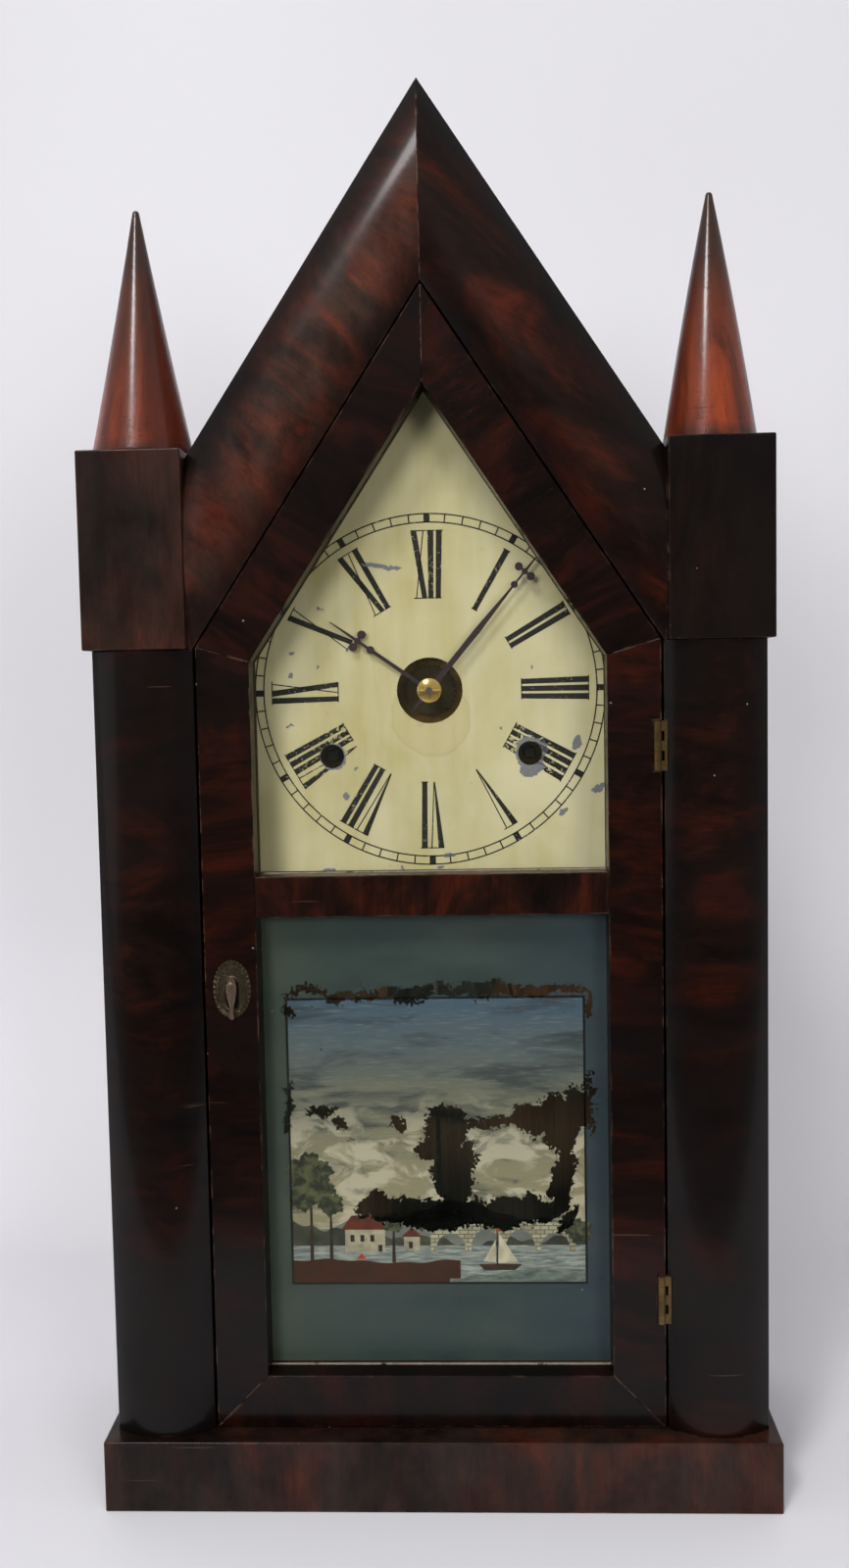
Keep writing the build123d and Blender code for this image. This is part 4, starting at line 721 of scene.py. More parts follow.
wear(spire_wood("right_spire_wood", 1.1), "right_finial")
wear(back_pine, "back_board")
wear(inner_pine, "dial_rails", "movement_rails")
wear(bead_pine, "glazing_beads")
print("wooden members", len(members) + len(plain_members))

# %% [markdown]
# ## Dressing the movement
# The wheels and plates are stamped brass and the arbors are steel. They show through the hole in the
# dial and through the losses in the painted tablet, so they need the same care as what is in front.

# %% Metal pieces
brass_nodes = (
    "front_plate", "back_plate", "pillar_nuts", "going_great_wheel", "going_second_wheel",
    "going_third_wheel", "escape_wheel", "centre_wheel", "striking_great_wheel", "striking_pin_wheel",
    "striking_third_wheel", "fly", "motion_wheel",
)
steel_nodes = ("verge", "pendulum_rod", "minute_arbor", "movement_screws", "dial_tacks")
wear(movement_brass, *brass_nodes)
wear(grey_steel, *steel_nodes)
wear(hour_brass, "hour_wheel")
wear(black_iron, "going_winding_arbor", "striking_winding_arbor")
wear(spring_steel, "mainsprings", "strike_hammer", "gong")
wear(bob_brass, "pendulum_bob", "rating_nut")
wear(hinge_brass, "hinge_door_leaves", "hinge_case_leaves")
wear(washer_brass, "hand_washer")
wear(cast_iron, "gong_stand")
wear(clear_glass, "upper_glass", "tablet")
print("brass pieces", len(brass_nodes), "steel pieces", len(steel_nodes))

# %% [markdown]
# ## The dial
# The dial is a sheet of zinc painted cream. The paint has yellowed, most of all in a ring under the
# centre hole, and has chipped down to the grey metal round the winding holes. Chips could be painted
# on as an image, but a few ellipses with edges made ragged by noise give the same marks at any size.
# They are grouped, because the painted tablet further on loses its paint the same way.

# %% Ragged losses, and the painted dial
def loss_mask(name, spots, coarse, fine, detail=3.0):
    """1 inside any ellipse (x, z, half width, half height, tilt in degrees), in mm, with a ragged edge."""
    tree, given, result = node_group(name, [("Vector", "Vector", None)], [("Mask", "Float")])
    place = given["Vector"]
    for scale, reach in ((150.0, coarse), (900.0, fine)):
        fields = {"Vector": given["Vector"], "Scale": scale, "Detail": detail}
        field = put(tree, "TexNoise", fields).outputs["Color"]
        shift = put(tree, "VectorMath", {0: field, 1: (0.5, 0.5, 0.5)}, operation="SUBTRACT").outputs[0]
        push = put(tree, "VectorMath", {0: shift, "Scale": reach}, operation="SCALE").outputs[0]
        place = put(tree, "VectorMath", {0: place, 1: push}, operation="ADD").outputs[0]
    least = None
    for x, z, half_width, half_height, tilt in spots:
        fields = {"Vector": place, "Location": (x * mm, 0, z * mm), "Rotation": (0, math.radians(-tilt), 0),
                  "Scale": (half_width * mm, 1000, half_height * mm)}
        local = put(tree, "Mapping", fields, vector_type="TEXTURE").outputs[0]
        away = put(tree, "VectorMath", {0: local}, operation="LENGTH").outputs["Value"]
        least = away if least is None else maths(tree, "MINIMUM", least, away)
    tree.links.new(maths(tree, "LESS_THAN", least, 1.0), result["Mask"])
    return tree


dial_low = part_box("dial")[0]
washer_low, washer_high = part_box("hand_washer")
centre_z = (washer_low.z + washer_high.z) / 2 / mm
winding_x, winding_z = 37.0, centre_z - 24.0
zinc_spots = [
    (-16.5, centre_z + 46.4, 7.2, 0.9, -8), (37.6, centre_z - 29.8, 4.4, 2.5, 10),
    (winding_x, winding_z, 5.6, 5.6, 0), (-winding_x, winding_z, 5.2, 5.2, 0),
    (41.5, winding_z + 1.5, 2.2, 3.0, 0), (54.1, centre_z - 20.3, 1.8, 2.9, -25),
    (62.0, centre_z - 37.6, 2.6, 1.1, 35), (66.3, centre_z - 37.0, 1.0, 1.0, 0),
    (49.6, centre_z - 45.7, 2.0, 1.1, 40), (6.2, centre_z - 61.9, 2.2, 1.0, 5),
    (-39.2, centre_z - 67.4, 2.4, 1.5, 0), (-32.4, centre_z - 39.4, 1.2, 1.4, 0),
    (-52.1, centre_z + 6.3, 1.1, 1.1, 0), (-51.0, centre_z + 15.1, 1.2, 0.6, 0),
    (-40.5, centre_z + 31.3, 1.2, 0.5, 0), (-41.1, centre_z + 9.8, 0.6, 0.7, 0),
    (-53.0, centre_z - 12.6, 1.6, 0.35, 0), (-28.0, centre_z - 28.2, 0.7, 0.8, 0),
    (38.5, centre_z + 8.1, 0.5, 0.7, 0), (26.1, centre_z - 14.5, 0.6, 0.6, 0),
    (3.0, centre_z - 66.3, 1.4, 0.5, 10), (-11.0, centre_z - 66.7, 0.5, 1.0, 0),
]
zinc_loss = loss_mask("zinc_loss", zinc_spots, 4.0 * mm, 1.8 * mm)


def dial_paint():
    """Cream that yellows in soft patches, streaked downwards, with a tide mark and bare zinc."""
    paint_work, tree, shader, place = finish("dial_paint", Specular_IOR_Level=0.35)
    patch = noise(tree, place, 17.0, 5.0, 0.55, 0.4)
    runs = noise(tree, scaled(tree, place, 160, 160, 14), 1.0, 3.0)
    colour = mix(tree, stretch(tree, patch, 0.34, 0.66), paint(194, 187, 148), paint(168, 158, 104))
    colour = mix(tree, stretch(tree, runs, 0.35, 0.75, 0.0, 0.5), colour, paint(196, 190, 158))
    drips = noise(tree, scaled(tree, place, 55, 55, 9), 1.0, 4.0, 0.6, 0.5)
    colour = mix(tree, stretch(tree, drips, 0.52, 0.72, 0.0, 0.4), colour, paint(160, 146, 84))
    away = away_from(tree, place, 0, centre_z - 10.5)
    wobble = maths(tree, "MULTIPLY_ADD", noise(tree, place, 70.0, 3.0), 6 * mm, away)
    inside = stretch(tree, wobble, 17.8 * mm, 16.6 * mm, 0.0, 0.26)
    off_line = maths(tree, "ABSOLUTE", maths(tree, "SUBTRACT", wobble, 17.2 * mm))
    rim = stretch(tree, off_line, 0.8 * mm, 0.0)
    colour = mix(tree, inside, colour, paint(164, 148, 88))
    colour = mix(tree, maths(tree, "MULTIPLY", rim, 0.18), colour, paint(134, 112, 62))
    crackle = stretch(tree, noise(tree, place, 520.0, 4.0, 0.7), 0.66, 0.74, 0.0, 0.5)
    colour = mix(tree, crackle, colour, paint(128, 112, 76))
    bare = put(tree, "Group", {"Vector": place}, node_tree=zinc_loss).outputs[0]
    speck = maths(tree, "MULTIPLY", flecks(tree, place, 210.0, 0.93), 0.9)
    colour = mix(tree, speck, colour, paint(70, 62, 48))
    zinc = mix(tree, noise(tree, place, 400.0), paint(96, 97, 99), paint(122, 122, 124))
    tree.links.new(mix(tree, bare, colour, zinc), shader.inputs["Base Color"])
    tree.links.new(stretch(tree, bare, 0.0, 1.0, 0.42, 0.55), shader.inputs["Roughness"])
    height = maths(tree, "MULTIPLY_ADD", bare, -1.0, maths(tree, "MULTIPLY", runs, 0.12))
    relief(tree, shader, height, 0.12 * mm, 0.7)
    return paint_work


wear(dial_paint(), "dial")
print("dial centre", round(centre_z, 1), "mm up, chips", len(zinc_spots))

# %% [markdown]
# ## The dial's ring and numerals
# A stencil or a brush laid the black on top of the cream, so the print is a thin solid that stands a
# twentieth of a millimetre proud, and not a picture. Every stroke is worked out in the reader's own
# directions, across and outwards, and then turned to its hour. Clocks of this kind write four as
# IIII and stand every numeral on the centre. Heavy strokes are bars, and light ones are hairlines.

# %% Ring and numerals
ring_outer, ring_inner = 65.2, 62.1
ring_line = 0.50
numeral_inner, numeral_outer = 34.2, 59.0
bar, hairline, hour_mark = 2.1, 0.42, 1.9
least_fan = 0.90
letter_width = {"I": 3.0, "V": 5.5, "X": 5.5}
print_back = dial_low.y
print_front = print_back - 0.05 * mm
numerals = ["I", "II", "III", "IIII", "V", "VI", "VII", "VIII", "IX", "X", "XI", "XII"]


def on_dial(across, outward, hour):
    """Centre + outward * (sin a, cos a) + across * (cos a, -sin a), with a = 30 degrees for each hour."""
    turn = math.radians(30) * hour
    fan = least_fan + 0.16 * (outward - numeral_inner) / (numeral_outer - numeral_inner)
    x = outward * np.sin(turn) + fan * across * np.cos(turn)
    z = centre_z + outward * np.cos(turn) - fan * across * np.sin(turn)
    return np.stack((x, z), axis=-1) * mm


def stroke(inner_across, inner_width, outer_across, outer_width, hour,
           low=numeral_inner, high=numeral_outer):
    """A straight bar from the low distance to the high one, with its own place and width at each end."""
    across = np.array((inner_across - inner_width / 2, inner_across + inner_width / 2,
                       outer_across + outer_width / 2, outer_across - outer_width / 2))
    return slab(on_dial(across, np.array((low, low, high, high)), hour), print_front, print_back)


def serif(left_end, right_end, outward, hour):
    middle, width = (left_end + right_end) / 2, right_end - left_end
    return stroke(middle, width, middle, width, hour, outward - hairline / 2, outward + hairline / 2)


def letter(kind, left_end, hour):
    """The strokes of one letter whose left edge is given, as the reader of that hour sees it."""
    width = letter_width[kind]
    middle = left_end + width / 2
    reach = width / 2 - bar / 2
    if kind == "I":
        strokes = [stroke(middle, bar, middle, bar, hour)]
    elif kind == "V":
        strokes = [stroke(middle + 0.2, hairline, middle - reach, bar, hour),
                   stroke(middle + 0.4, hairline, middle + reach, hairline, hour)]
    else:
        strokes = [stroke(middle + reach, bar, middle - reach, bar, hour),
                   stroke(middle - reach, hairline, middle + reach, hairline, hour)]
    ends = [numeral_outer] if kind == "V" else [numeral_inner, numeral_outer]
    strokes += [serif(left_end + 0.1, left_end + width - 0.1, end, hour) for end in ends]
    return strokes


def numeral(text, hour):
    widths = [letter_width[kind] for kind in text]
    starts = np.cumsum([0] + widths[:-1]) - sum(widths) / 2
    return [part for kind, start in zip(text, starts) for part in letter(kind, start, hour)]


def minute_mark(minute):
    width = (hour_mark if minute % 5 == 0 else hairline) / least_fan
    return stroke(0, width, 0, width, minute / 5, ring_inner, ring_outer)


def worn_ink():
    """Black that has flaked in hair cracks, and most of all beside the winding holes."""
    ink, tree, shader, place = finish("dial_ink", Roughness=0.5)
    tone = mix(tree, noise(tree, place, 300.0), paint(15, 13, 12), paint(36, 31, 26))
    tree.links.new(tone, shader.inputs["Base Color"])
    grain = noise(tree, place, 700.0, 6.0, 0.75)
    broad = noise(tree, place, 45.0, 3.0)
    near = [away_from(tree, place, side * winding_x, winding_z) for side in (-1, 1)]
    rubbed = stretch(tree, maths(tree, "MINIMUM", *near), 7 * mm, 22 * mm, 0.10, 0.0)
    limit = maths(tree, "SUBTRACT", stretch(tree, broad, 0.35, 0.65, 0.66, 0.585), rubbed)
    gone = maths(tree, "GREATER_THAN", grain, limit)
    bare = put(tree, "Group", {"Vector": place}, node_tree=zinc_loss).outputs[0]
    kept = maths(tree, "SUBTRACT", 1.0, maths(tree, "MAXIMUM", gone, bare))
    tree.links.new(kept, shader.inputs["Alpha"])
    return ink


dial_ink = worn_ink()
numeral_parts = [part for hour, text in enumerate(numerals, start=1) for part in numeral(text, hour)]
add_piece("dial_numerals", *gathered(numeral_parts), dial_ink, "case", "dial_paint")
half_line = ring_line / 2
ring_parts = [
    ring(0, centre_z * mm, (radius - half_line) * mm, (radius + half_line) * mm, print_front, print_back)
    for radius in (ring_outer, ring_inner)
]
ring_parts += [minute_mark(minute) for minute in range(60)]
add_piece("dial_minute_ring", *gathered(ring_parts), dial_ink, "case", "dial_paint")
print("numeral strokes", len(numeral_parts), "ring parts", len(ring_parts))

# %% [markdown]
# ## The hands
# The hands are sheet steel, blued over a flame and filed thin: a shaft with a bead on it, a small
# cross with two round ends, and a spike. They could be drawn as one long outline, but a maker thinks
# along the shaft, so its half width is a function of the distance from the centre, and the bead,
# the cross and its round ends are laid over it. A small bevel gives the filed edge its glint.

# %% Hands
minute_angle, hour_angle = 39.9, -54.6
filed_edge = 0.14 * mm


def turned(across, outward, angle):
    """Centre + outward * (sin a, cos a) + across * (cos a, -sin a), with a from twelve, clockwise."""
    a = math.radians(angle)
    x = outward * np.sin(a) + across * np.cos(a)
    z = centre_z + outward * np.cos(a) - across * np.sin(a)
    return np.stack(np.broadcast_arrays(x, z), axis=-1) * mm


def tapered(stations, angle, front, back):
    """Half width = straight lines between stations, each a distance from the centre and a width."""
    outward, width = np.array(stations).T
    across = np.concatenate((width / 2, -width[::-1] / 2))
    return slab(turned(across, np.concatenate((outward, outward[::-1])), angle), front, back)


def hand(name, node, body, angle, stretches, bead, cross, eye):
    """A hand from its tapered stretches, its beads (distance, across, radius), its cross and its eye."""
    low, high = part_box(node)
    front, back = low.y, high.y
    proud = front - 0.06 * mm
    parts = [tapered(stations, angle, front, back) for stations in stretches]
    distance, reach, width, radius = cross
    arm = np.array(((-reach, -width / 2), (reach, -width / 2), (reach, width / 2), (-reach, width / 2)))
    parts.append(slab(turned(arm[:, 0], distance + arm[:, 1], angle), front + 0.03 * mm, back))
    rounds = [(bead[0], 0, bead[1]), (distance, -reach, radius), (distance, reach, radius),
              (distance, 0, 0.75 * radius)]
    for outward, across, size in rounds:
        x, z = turned(np.array(across), np.array(outward), angle)
        parts.append(disc(x, z, size * mm, proud, back))
    parts.append(ring(0, centre_z * mm, eye[0] * mm, eye[1] * mm, front + 0.02 * mm, back, 64))
    thing = add_piece(name, *gathered(parts), blued_steel, body, "blued_steel")
    bevel = thing.modifiers.new("filed_edge", "BEVEL")
    bevel.width, bevel.segments, bevel.limit_method = filed_edge, 2, "ANGLE"
    bevel.harden_normals = True
    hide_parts(node)


hand("long_hand", "minute_hand", "minute", minute_angle,
     [[(2.6, 2.0), (28, 2.3), (48.6, 0.8), (54.5, 0.8), (57.4, 1.0), (64, 0.3)],
      [(-10.5, 0.9), (-2.6, 1.7)]],
     bead=(49.7, 1.3), cross=(55.8, 2.85, 0.9, 1.5), eye=(1.35, 3.9))
hand("short_hand", "hour_hand", "hour", hour_angle,
     [[(3.6, 1.5), (25.4, 1.3), (31.2, 0.9), (34.4, 1.1), (44.9, 0.35)]],
     bead=(26.5, 1.45), cross=(32.4, 2.8, 0.9, 1.6), eye=(3.3, 4.3))
print("hands at", minute_angle, "and", hour_angle, "degrees from twelve")

# %% [markdown]
# ## The latch plate and its tongue
# A stamped oval of brass surrounds the catch: a ring of small beads, a plain dished field and a
# raised lip round an upright slot. It is one sheet, so one grid makes it. One parameter runs round
# the oval, the other runs from its edge in to the slot, and the height above the door is a formula
# of both. The tongue hangs from the slot: an oval section carried down, wide at first, then thin.

# %% Latch plate and tongue
plate_low, plate_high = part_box("escutcheon")
latch_low, latch_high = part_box("latch_lever")
beads_round = 34
slot_radius, slot_drop, slot_pull = 2.3 * mm, 2.0 * mm, 3.1 * mm
spindle_radius = 1.6 * mm
hook_half, hook_height, hook_thickness = 2.0 * mm, 9.5 * mm, 1.0 * mm
latch_x, plate_z = (plate_low.x + plate_high.x) / 2, (plate_low.z + plate_high.z) / 2
latch_z = latch_high.z - hook_height


def slot_edge(angle, scale=1.0):
    """From the plate's middle: radius * (sin a, cos a), lowered, with its two halves pulled apart."""
    pulled = slot_pull * np.clip(np.cos(angle) / 0.35, -1, 1)
    return scale * slot_radius * np.sin(angle), scale * slot_radius * np.cos(angle) - slot_drop + pulled


def latch_plate():
    """Height = 0.3 + dish + lip + beads; place = slot edge * (1 - v) + oval * v, both round the angle u."""
    u = np.linspace(0, 2 * math.pi, beads_round * 8, endpoint=False)[None, :]
    v = np.linspace(1, 0, 26)[:, None]
    scallop = 1 - 0.025 * (0.5 - 0.5 * np.cos(beads_round * u))
    oval_x = (plate_high.x - plate_low.x) / 2 * scallop * np.sin(u)
    oval_z = (plate_high.z - plate_low.z) / 2 * scallop * np.cos(u)
    slot_x, slot_z = slot_edge(u)
    x = latch_x + (1 - v) * slot_x + v * oval_x
    z = plate_z + (1 - v) * slot_z + v * oval_z
    dish = 0.22 * np.cos(math.pi * v) ** 2
    lip = 0.42 * np.exp(-((v - 0.10) / 0.07) ** 2)
    ridge = 0.28 * np.exp(-((v - 0.66) / 0.05) ** 2)
    beads = 0.50 * np.clip(np.cos(beads_round * u), 0, 1) * np.exp(-((v - 0.84) / 0.085) ** 2)
    lobes = 0.16 * np.cos(12 * u + 9 * v) * np.exp(-((v - 0.45) / 0.14) ** 2)
    height = np.minimum(0.30 + dish + lip + ridge + beads + lobes, 1.08) * mm
    back = np.full_like(x[:1], plate_high.y)
    y = np.vstack((back, plate_high.y - height, back))
    x, z = (np.vstack((side[:1], side, side[-1:])) for side in (x, z))
    return np.stack((x, y, z), axis=-1).reshape(-1, 3), grid_faces(*x.shape, True, True).tolist()


def tongue():
    """An oval section at each level: centre depth, half width and half thickness run between stations."""
    levels, half_width, half_thick = np.array((
        (0.5, 0.35, 0.40), (0.1, 1.35, 0.80), (-0.7, 1.95, 1.05), (-3.2, 2.0, 1.05), (-6.2, 1.45, 0.90),
        (-8.6, 0.85, 0.75), (-11.2, 0.68, 0.70), (-12.6, 0.95, 0.75), (-13.2, 0.80, 0.60),
        (-13.5, 0.30, 0.30),
    )).T
    t = np.linspace(0, 2 * math.pi, 28, endpoint=False)[None, :]
    fine = np.linspace(levels[0], levels[-1], 56)
    wide = np.interp(-fine, -levels, half_width)[:, None]
    thick = np.interp(-fine, -levels, half_thick)[:, None]
    x = latch_x + wide * np.cos(t) * mm
    y = latch_low.y + 1.1 * mm + thick * np.sin(t) * mm
    z = latch_z + np.broadcast_to(fine[:, None], x.shape) * mm
    points = np.stack((x, y, z), axis=-1).reshape(-1, 3)
    last = (len(fine) - 1) * t.size
    ends = [list(range(t.size)), list(range(last, last + t.size))]
    return points, grid_faces(len(fine), t.size, False, True).tolist() + ends


def latch_hook():
    """What holds the door inside the case: the spindle through the stile and the flat hook on it."""
    corners = np.array(((-hook_half, 0), (hook_half, 0), (hook_half, hook_height), (-hook_half, hook_height)))
    hook = slab(corners + (latch_x, latch_z), latch_high.y - hook_thickness, latch_high.y)
    return [disc(latch_x, latch_z, spindle_radius, latch_low.y + 1.0 * mm, latch_high.y), hook]


def latch_hole():
    """Painted shade in the slot: a dark sheet with the slot's outline and a radius a fifth larger, on the
    door under the plate.
    """
    x, z = slot_edge(np.linspace(0, 2 * math.pi, 48, endpoint=False), 1.2)
    outline = np.stack((latch_x + x, plate_z + z), axis=-1)
    return slab(outline, plate_high.y - 0.06 * mm, plate_high.y + 0.02 * mm)


# A dark sheet of painted shade fills the slot of the latch plate.
add_piece("latch_hole", *latch_hole(), black_iron, "door", "brass")
add_piece("latch_plate", *latch_plate(), escutcheon_bronze, "door", "brass")
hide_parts("escutcheon")
add_piece("latch_tongue", *gathered([tongue(), *latch_hook()]), latch_brown, "latch", "brass", 50.0)
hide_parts("latch_lever")
print("latch plate", round((plate_high.x - plate_low.x) / mm, 1), "mm wide, beads", beads_round)

# %% [markdown]
# ## The painted tablet
# The lower pane carries a picture on its back, painted in reverse: what is nearest was painted
# first. So the picture is a pile of paint films just inside the glass, each a hundredth or two of a
# millimetre behind the one in front. The scene here is a plain river view with hills, a stone
# bridge, trees and a boat. Paint on glass lets go in sheets, and every film loses it in the same
# places, so one group of ragged ovals gives them all their holes.

# %% Paint films and their losses
pane_low, pane_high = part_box("tablet")
window_half, window_low, window_high = 63.4, 46.1, 216.4
picture_half, picture_low, picture_high = 54.5, 76.5, 183.8
rule_width = 0.8
film = 0.02 * mm
film_orders = 12
tablet_spots = [
    (-27.9, 185.2, 28.5, 1.8, -3), (18.0, 186.9, 38.0, 2.5, 0), (56.6, 181.0, 1.6, 6.2, 0),
    (-54.2, 179.6, 2.8, 2.6, 0), (-55.4, 143.0, 1.7, 8.6, 0), (-42.7, 141.9, 5.6, 2.2, 8),
    (-36.6, 136.4, 4.2, 1.7, -20), (-31.6, 129.8, 0.8, 1.1, 0), (-14.1, 137.5, 3.0, 3.2, 0),
    (3.0, 134.5, 9.0, 9.6, 0), (-0.5, 127.0, 8.0, 4.5, 0), (5.4, 116.8, 7.6, 11.0, 0),
    (-18.7, 104.3, 13.0, 6.0, -4), (3.1, 103.2, 23.0, 6.0, 0), (28.4, 103.0, 17.3, 6.2, 4),
    (46.0, 116.0, 4.6, 15.0, -8), (40.5, 139.6, 13.5, 6.6, 4), (52.0, 142.0, 6.0, 9.0, 0),
    (20.4, 137.4, 10.0, 2.4, 4), (46.0, 134.0, 8.0, 7.0, 0), (12.3, 122.7, 2.6, 8.3, 0),
    (57.3, 144.0, 1.3, 12.6, 0), (49.5, 100.5, 3.0, 7.0, -25),
]
tablet_loss = loss_mask("tablet_loss", tablet_spots, 11.0 * mm, 7.0 * mm, 5.0)
film_flecks = ((95.0, 0.90, (40, 30, 24)), (170.0, 0.94, (30, 24, 20)), (150.0, 0.97, (150, 146, 126)))


def paint_film(name, colour_of, rough=0.5):
    """A paint film: its own colours, flecked with brown, and holes wherever the tablet lost its paint."""
    coat, tree, shader, place = finish(name, Roughness=rough, Specular_IOR_Level=0.25)
    grit = stretch(tree, noise(tree, place, 420.0, 4.0, 0.7), 0.68, 0.76, 0.0, 0.45)
    colour = mix(tree, grit, colour_of(tree, place), paint(44, 36, 28))
    for scale, rarity, tone in film_flecks:
        speck = maths(tree, "MULTIPLY", flecks(tree, place, scale, rarity), 0.7)
        colour = mix(tree, speck, colour, paint(*tone))
    tree.links.new(colour, shader.inputs["Base Color"])
    gone = put(tree, "Group", {"Vector": place}, node_tree=tablet_loss).outputs[0]
    tree.links.new(maths(tree, "SUBTRACT", 1.0, gone), shader.inputs["Alpha"])
    relief(tree, shader, noise(tree, scaled(tree, place, 1, 1, 6), 160.0, 3.0), 0.05 * mm, 0.5)
    return coat


def two_tones(first, second, scale, flat=1.0, low=0.35, high=0.65):
    """Soft patches of two colours, drawn out sideways where flat is more than one."""
    def colour_of(tree, place):
        patches = noise(tree, scaled(tree, place, 1, 1, flat), scale, 5.0, 0.6, 0.4)
        return mix(tree, stretch(tree, patches, low, high), paint(*first), paint(*second))
    return colour_of


def border_green(tree, place):
    """Grey green that turns bluer to the right and yellower at the left of the picture."""
    across = axis(tree, place, "X")
    patches = noise(tree, scaled(tree, place, 1, 1, 2.5), 24.0, 5.0, 0.6)
    base = mix(tree, stretch(tree, patches, 0.35, 0.65), paint(38, 50, 49), paint(52, 62, 58))
    base = mix(tree, stretch(tree, across, 20 * mm, 64 * mm, 0.0, 0.55), base, paint(42, 52, 62))
    base = mix(tree, stretch(tree, across, -30 * mm, -62 * mm, 0.0, 0.45), base, paint(58, 66, 50))
    stain = stretch(tree, noise(tree, place, 130.0, 6.0, 0.7, 0.6), 0.66, 0.72, 0.0, 0.8)
    base = mix(tree, stain, base, paint(24, 26, 22))
    speck = maths(tree, "MULTIPLY", flecks(tree, place, 130.0, 0.93), 0.7)
    return mix(tree, speck, base, paint(110, 116, 104))


def sky_colours(tree, place):
    """Blue at the top, cream lower down, with long grey clouds and heaped pale ones near the hills."""
    height = axis(tree, place, "Z")
    drift = noise(tree, scaled(tree, place, 1, 1, 5), 22.0, 5.0, 0.6, 0.3)
    ragged = maths(tree, "MULTIPLY_ADD", drift, 22 * mm, height)
    low_sky = mix(tree, stretch(tree, ragged, 125 * mm, 168 * mm), paint(118, 113, 86), paint(84, 88, 76))
    sky = mix(tree, stretch(tree, ragged, 160 * mm, 196 * mm), low_sky, paint(56, 76, 90))
    sky = mix(tree, stretch(tree, drift, 0.52, 0.64, 0.0, 0.8), sky, paint(46, 52, 52))
    heaps = noise(tree, scaled(tree, place, 1, 1, 1.8), 52.0, 6.0, 0.55, 1.2)
    low_down = stretch(tree, height, 150 * mm, 128 * mm)
    banked = maths(tree, "MULTIPLY", stretch(tree, heaps, 0.47, 0.56), low_down)
    sky = mix(tree, maths(tree, "MULTIPLY", banked, 0.85), sky, paint(158, 153, 128))
    under = stretch(tree, noise(tree, scaled(tree, place, 1, 1, 1.8), 50.0, 6.0, 0.55, 1.4), 0.58, 0.66)
    under = maths(tree, "MULTIPLY", under, stretch(tree, height, 152 * mm, 130 * mm, 0.0, 0.6))
    sky = mix(tree, under, sky, paint(70, 72, 68))
    strokes = noise(tree, scaled(tree, place, 1, 1, 14), 150.0, 3.0)
    return mix(tree, stretch(tree, strokes, 0.55, 0.75, 0.0, 0.25), sky, paint(140, 142, 124))


def masonry(tree, place):
    """Courses of cream stone with dark joints."""
    upright = put(tree, "Mapping", {"Vector": place, "Rotation": (math.radians(-90), 0, 0)}).outputs[0]
    fields = {"Vector": upright, "Color1": paint(150, 146, 118), "Color2": paint(116, 112, 90),
              "Mortar": paint(70, 66, 54), "Scale": 190.0, "Mortar Size": 0.03, "Brick Width": 0.6,
              "Row Height": 0.3}
    return put(tree, "TexBrick", fields).outputs["Color"]


print("films", film / mm, "mm apart, ovals of lost paint", len(tablet_spots))

# %% [markdown]
# The films themselves are flat shapes. Hills and banks are a waved line closed below, a tree's crown
# is a circle whose radius is waved, and the bridge is a deck line closed by half circles below.
# Waves are sums of sines with listed periods, so the same picture comes out every time. The
# border and the backing throw no shadow: thin old paint lets some light into the case, so that the
# board behind shows brown through the losses.

# %% Shapes for the river picture
def flat_shape(points, order):
    """An outline in mm as one film. Order 12 is the glass's back, and each step down lies a film nearer."""
    front = pane_high.y - film * (film_orders - order)
    return slab(np.array(points, float) * mm, front, front + film / 2)


def rectangle(left, right, low, high, order):
    return flat_shape(((left, low), (right, low), (right, high), (left, high)), order)


def surround(half, low, high, order):
    """Four rectangles that fill what lies between the picture and a larger rectangle round it."""
    return [
        rectangle(-half, half, low, picture_low, order),
        rectangle(-half, half, picture_high, high, order),
        rectangle(-half, -picture_half, picture_low, picture_high, order),
        rectangle(picture_half, half, picture_low, picture_high, order),
    ]


def waved_land(left, right, low, level, waves, order):
    """Top edge = level + the sum of height * sin(x / period + start), closed by a straight line below."""
    x = np.linspace(left, right, 160)
    z = level + sum(height * np.sin(x / period + start) for height, period, start in waves)
    top = np.stack((x, np.maximum(z, low + 0.05)), -1)
    return flat_shape(np.vstack((top, ((right, low), (left, low)))), order)


def crown(x, z, radius, start, order):
    """Radius = radius * (1 + 0.10 sin 5t + 0.07 sin 11t + 0.05 sin 23t), a little wider than high."""
    t = np.linspace(0, 2 * math.pi, 120, endpoint=False)
    waved = radius * (1 + 0.10 * np.sin(5 * t + start) + 0.07 * np.sin(11 * t + 2 * start)
                      + 0.05 * np.sin(23 * t + start))
    return flat_shape(np.stack((x + 1.1 * waved * np.cos(t), z + waved * np.sin(t)), -1), order)


def bridge(left, right, water, deck, rises, order):
    """Deck = a low hump of a sine; below it, one half circle for each arch between the piers."""
    pier = 2.2
    x = np.linspace(right, left, 60)
    top = np.stack((x, deck + 2.6 * np.sin(math.pi * (x - left) / (right - left))), -1)
    span = (right - left - (len(rises) + 1) * pier) / len(rises)
    t = np.linspace(math.pi, 0, 24)
    below = [((left, water),)]
    for index, rise in enumerate(rises):
        start = left + pier + index * (span + pier)
        arch_x = start + span / 2 + span / 2 * np.cos(t)
        arch_z = water + 1.5 + (deck - water - 3.0) * rise * np.sin(t)
        below += [((start, water),), np.stack((arch_x, arch_z), -1), ((start + span, water),)]
    return flat_shape(np.vstack((top, *below, ((right, water),))), order)


def film_piece(name, parts, paint_name, colour_of, rough=0.5):
    coat = paint_film(paint_name, colour_of, rough)
    add_piece("tablet_" + name, *gathered(parts), coat, "door", "painted_glass")


full_width = (-picture_half, picture_half)
print("picture", 2 * picture_half, "mm wide")

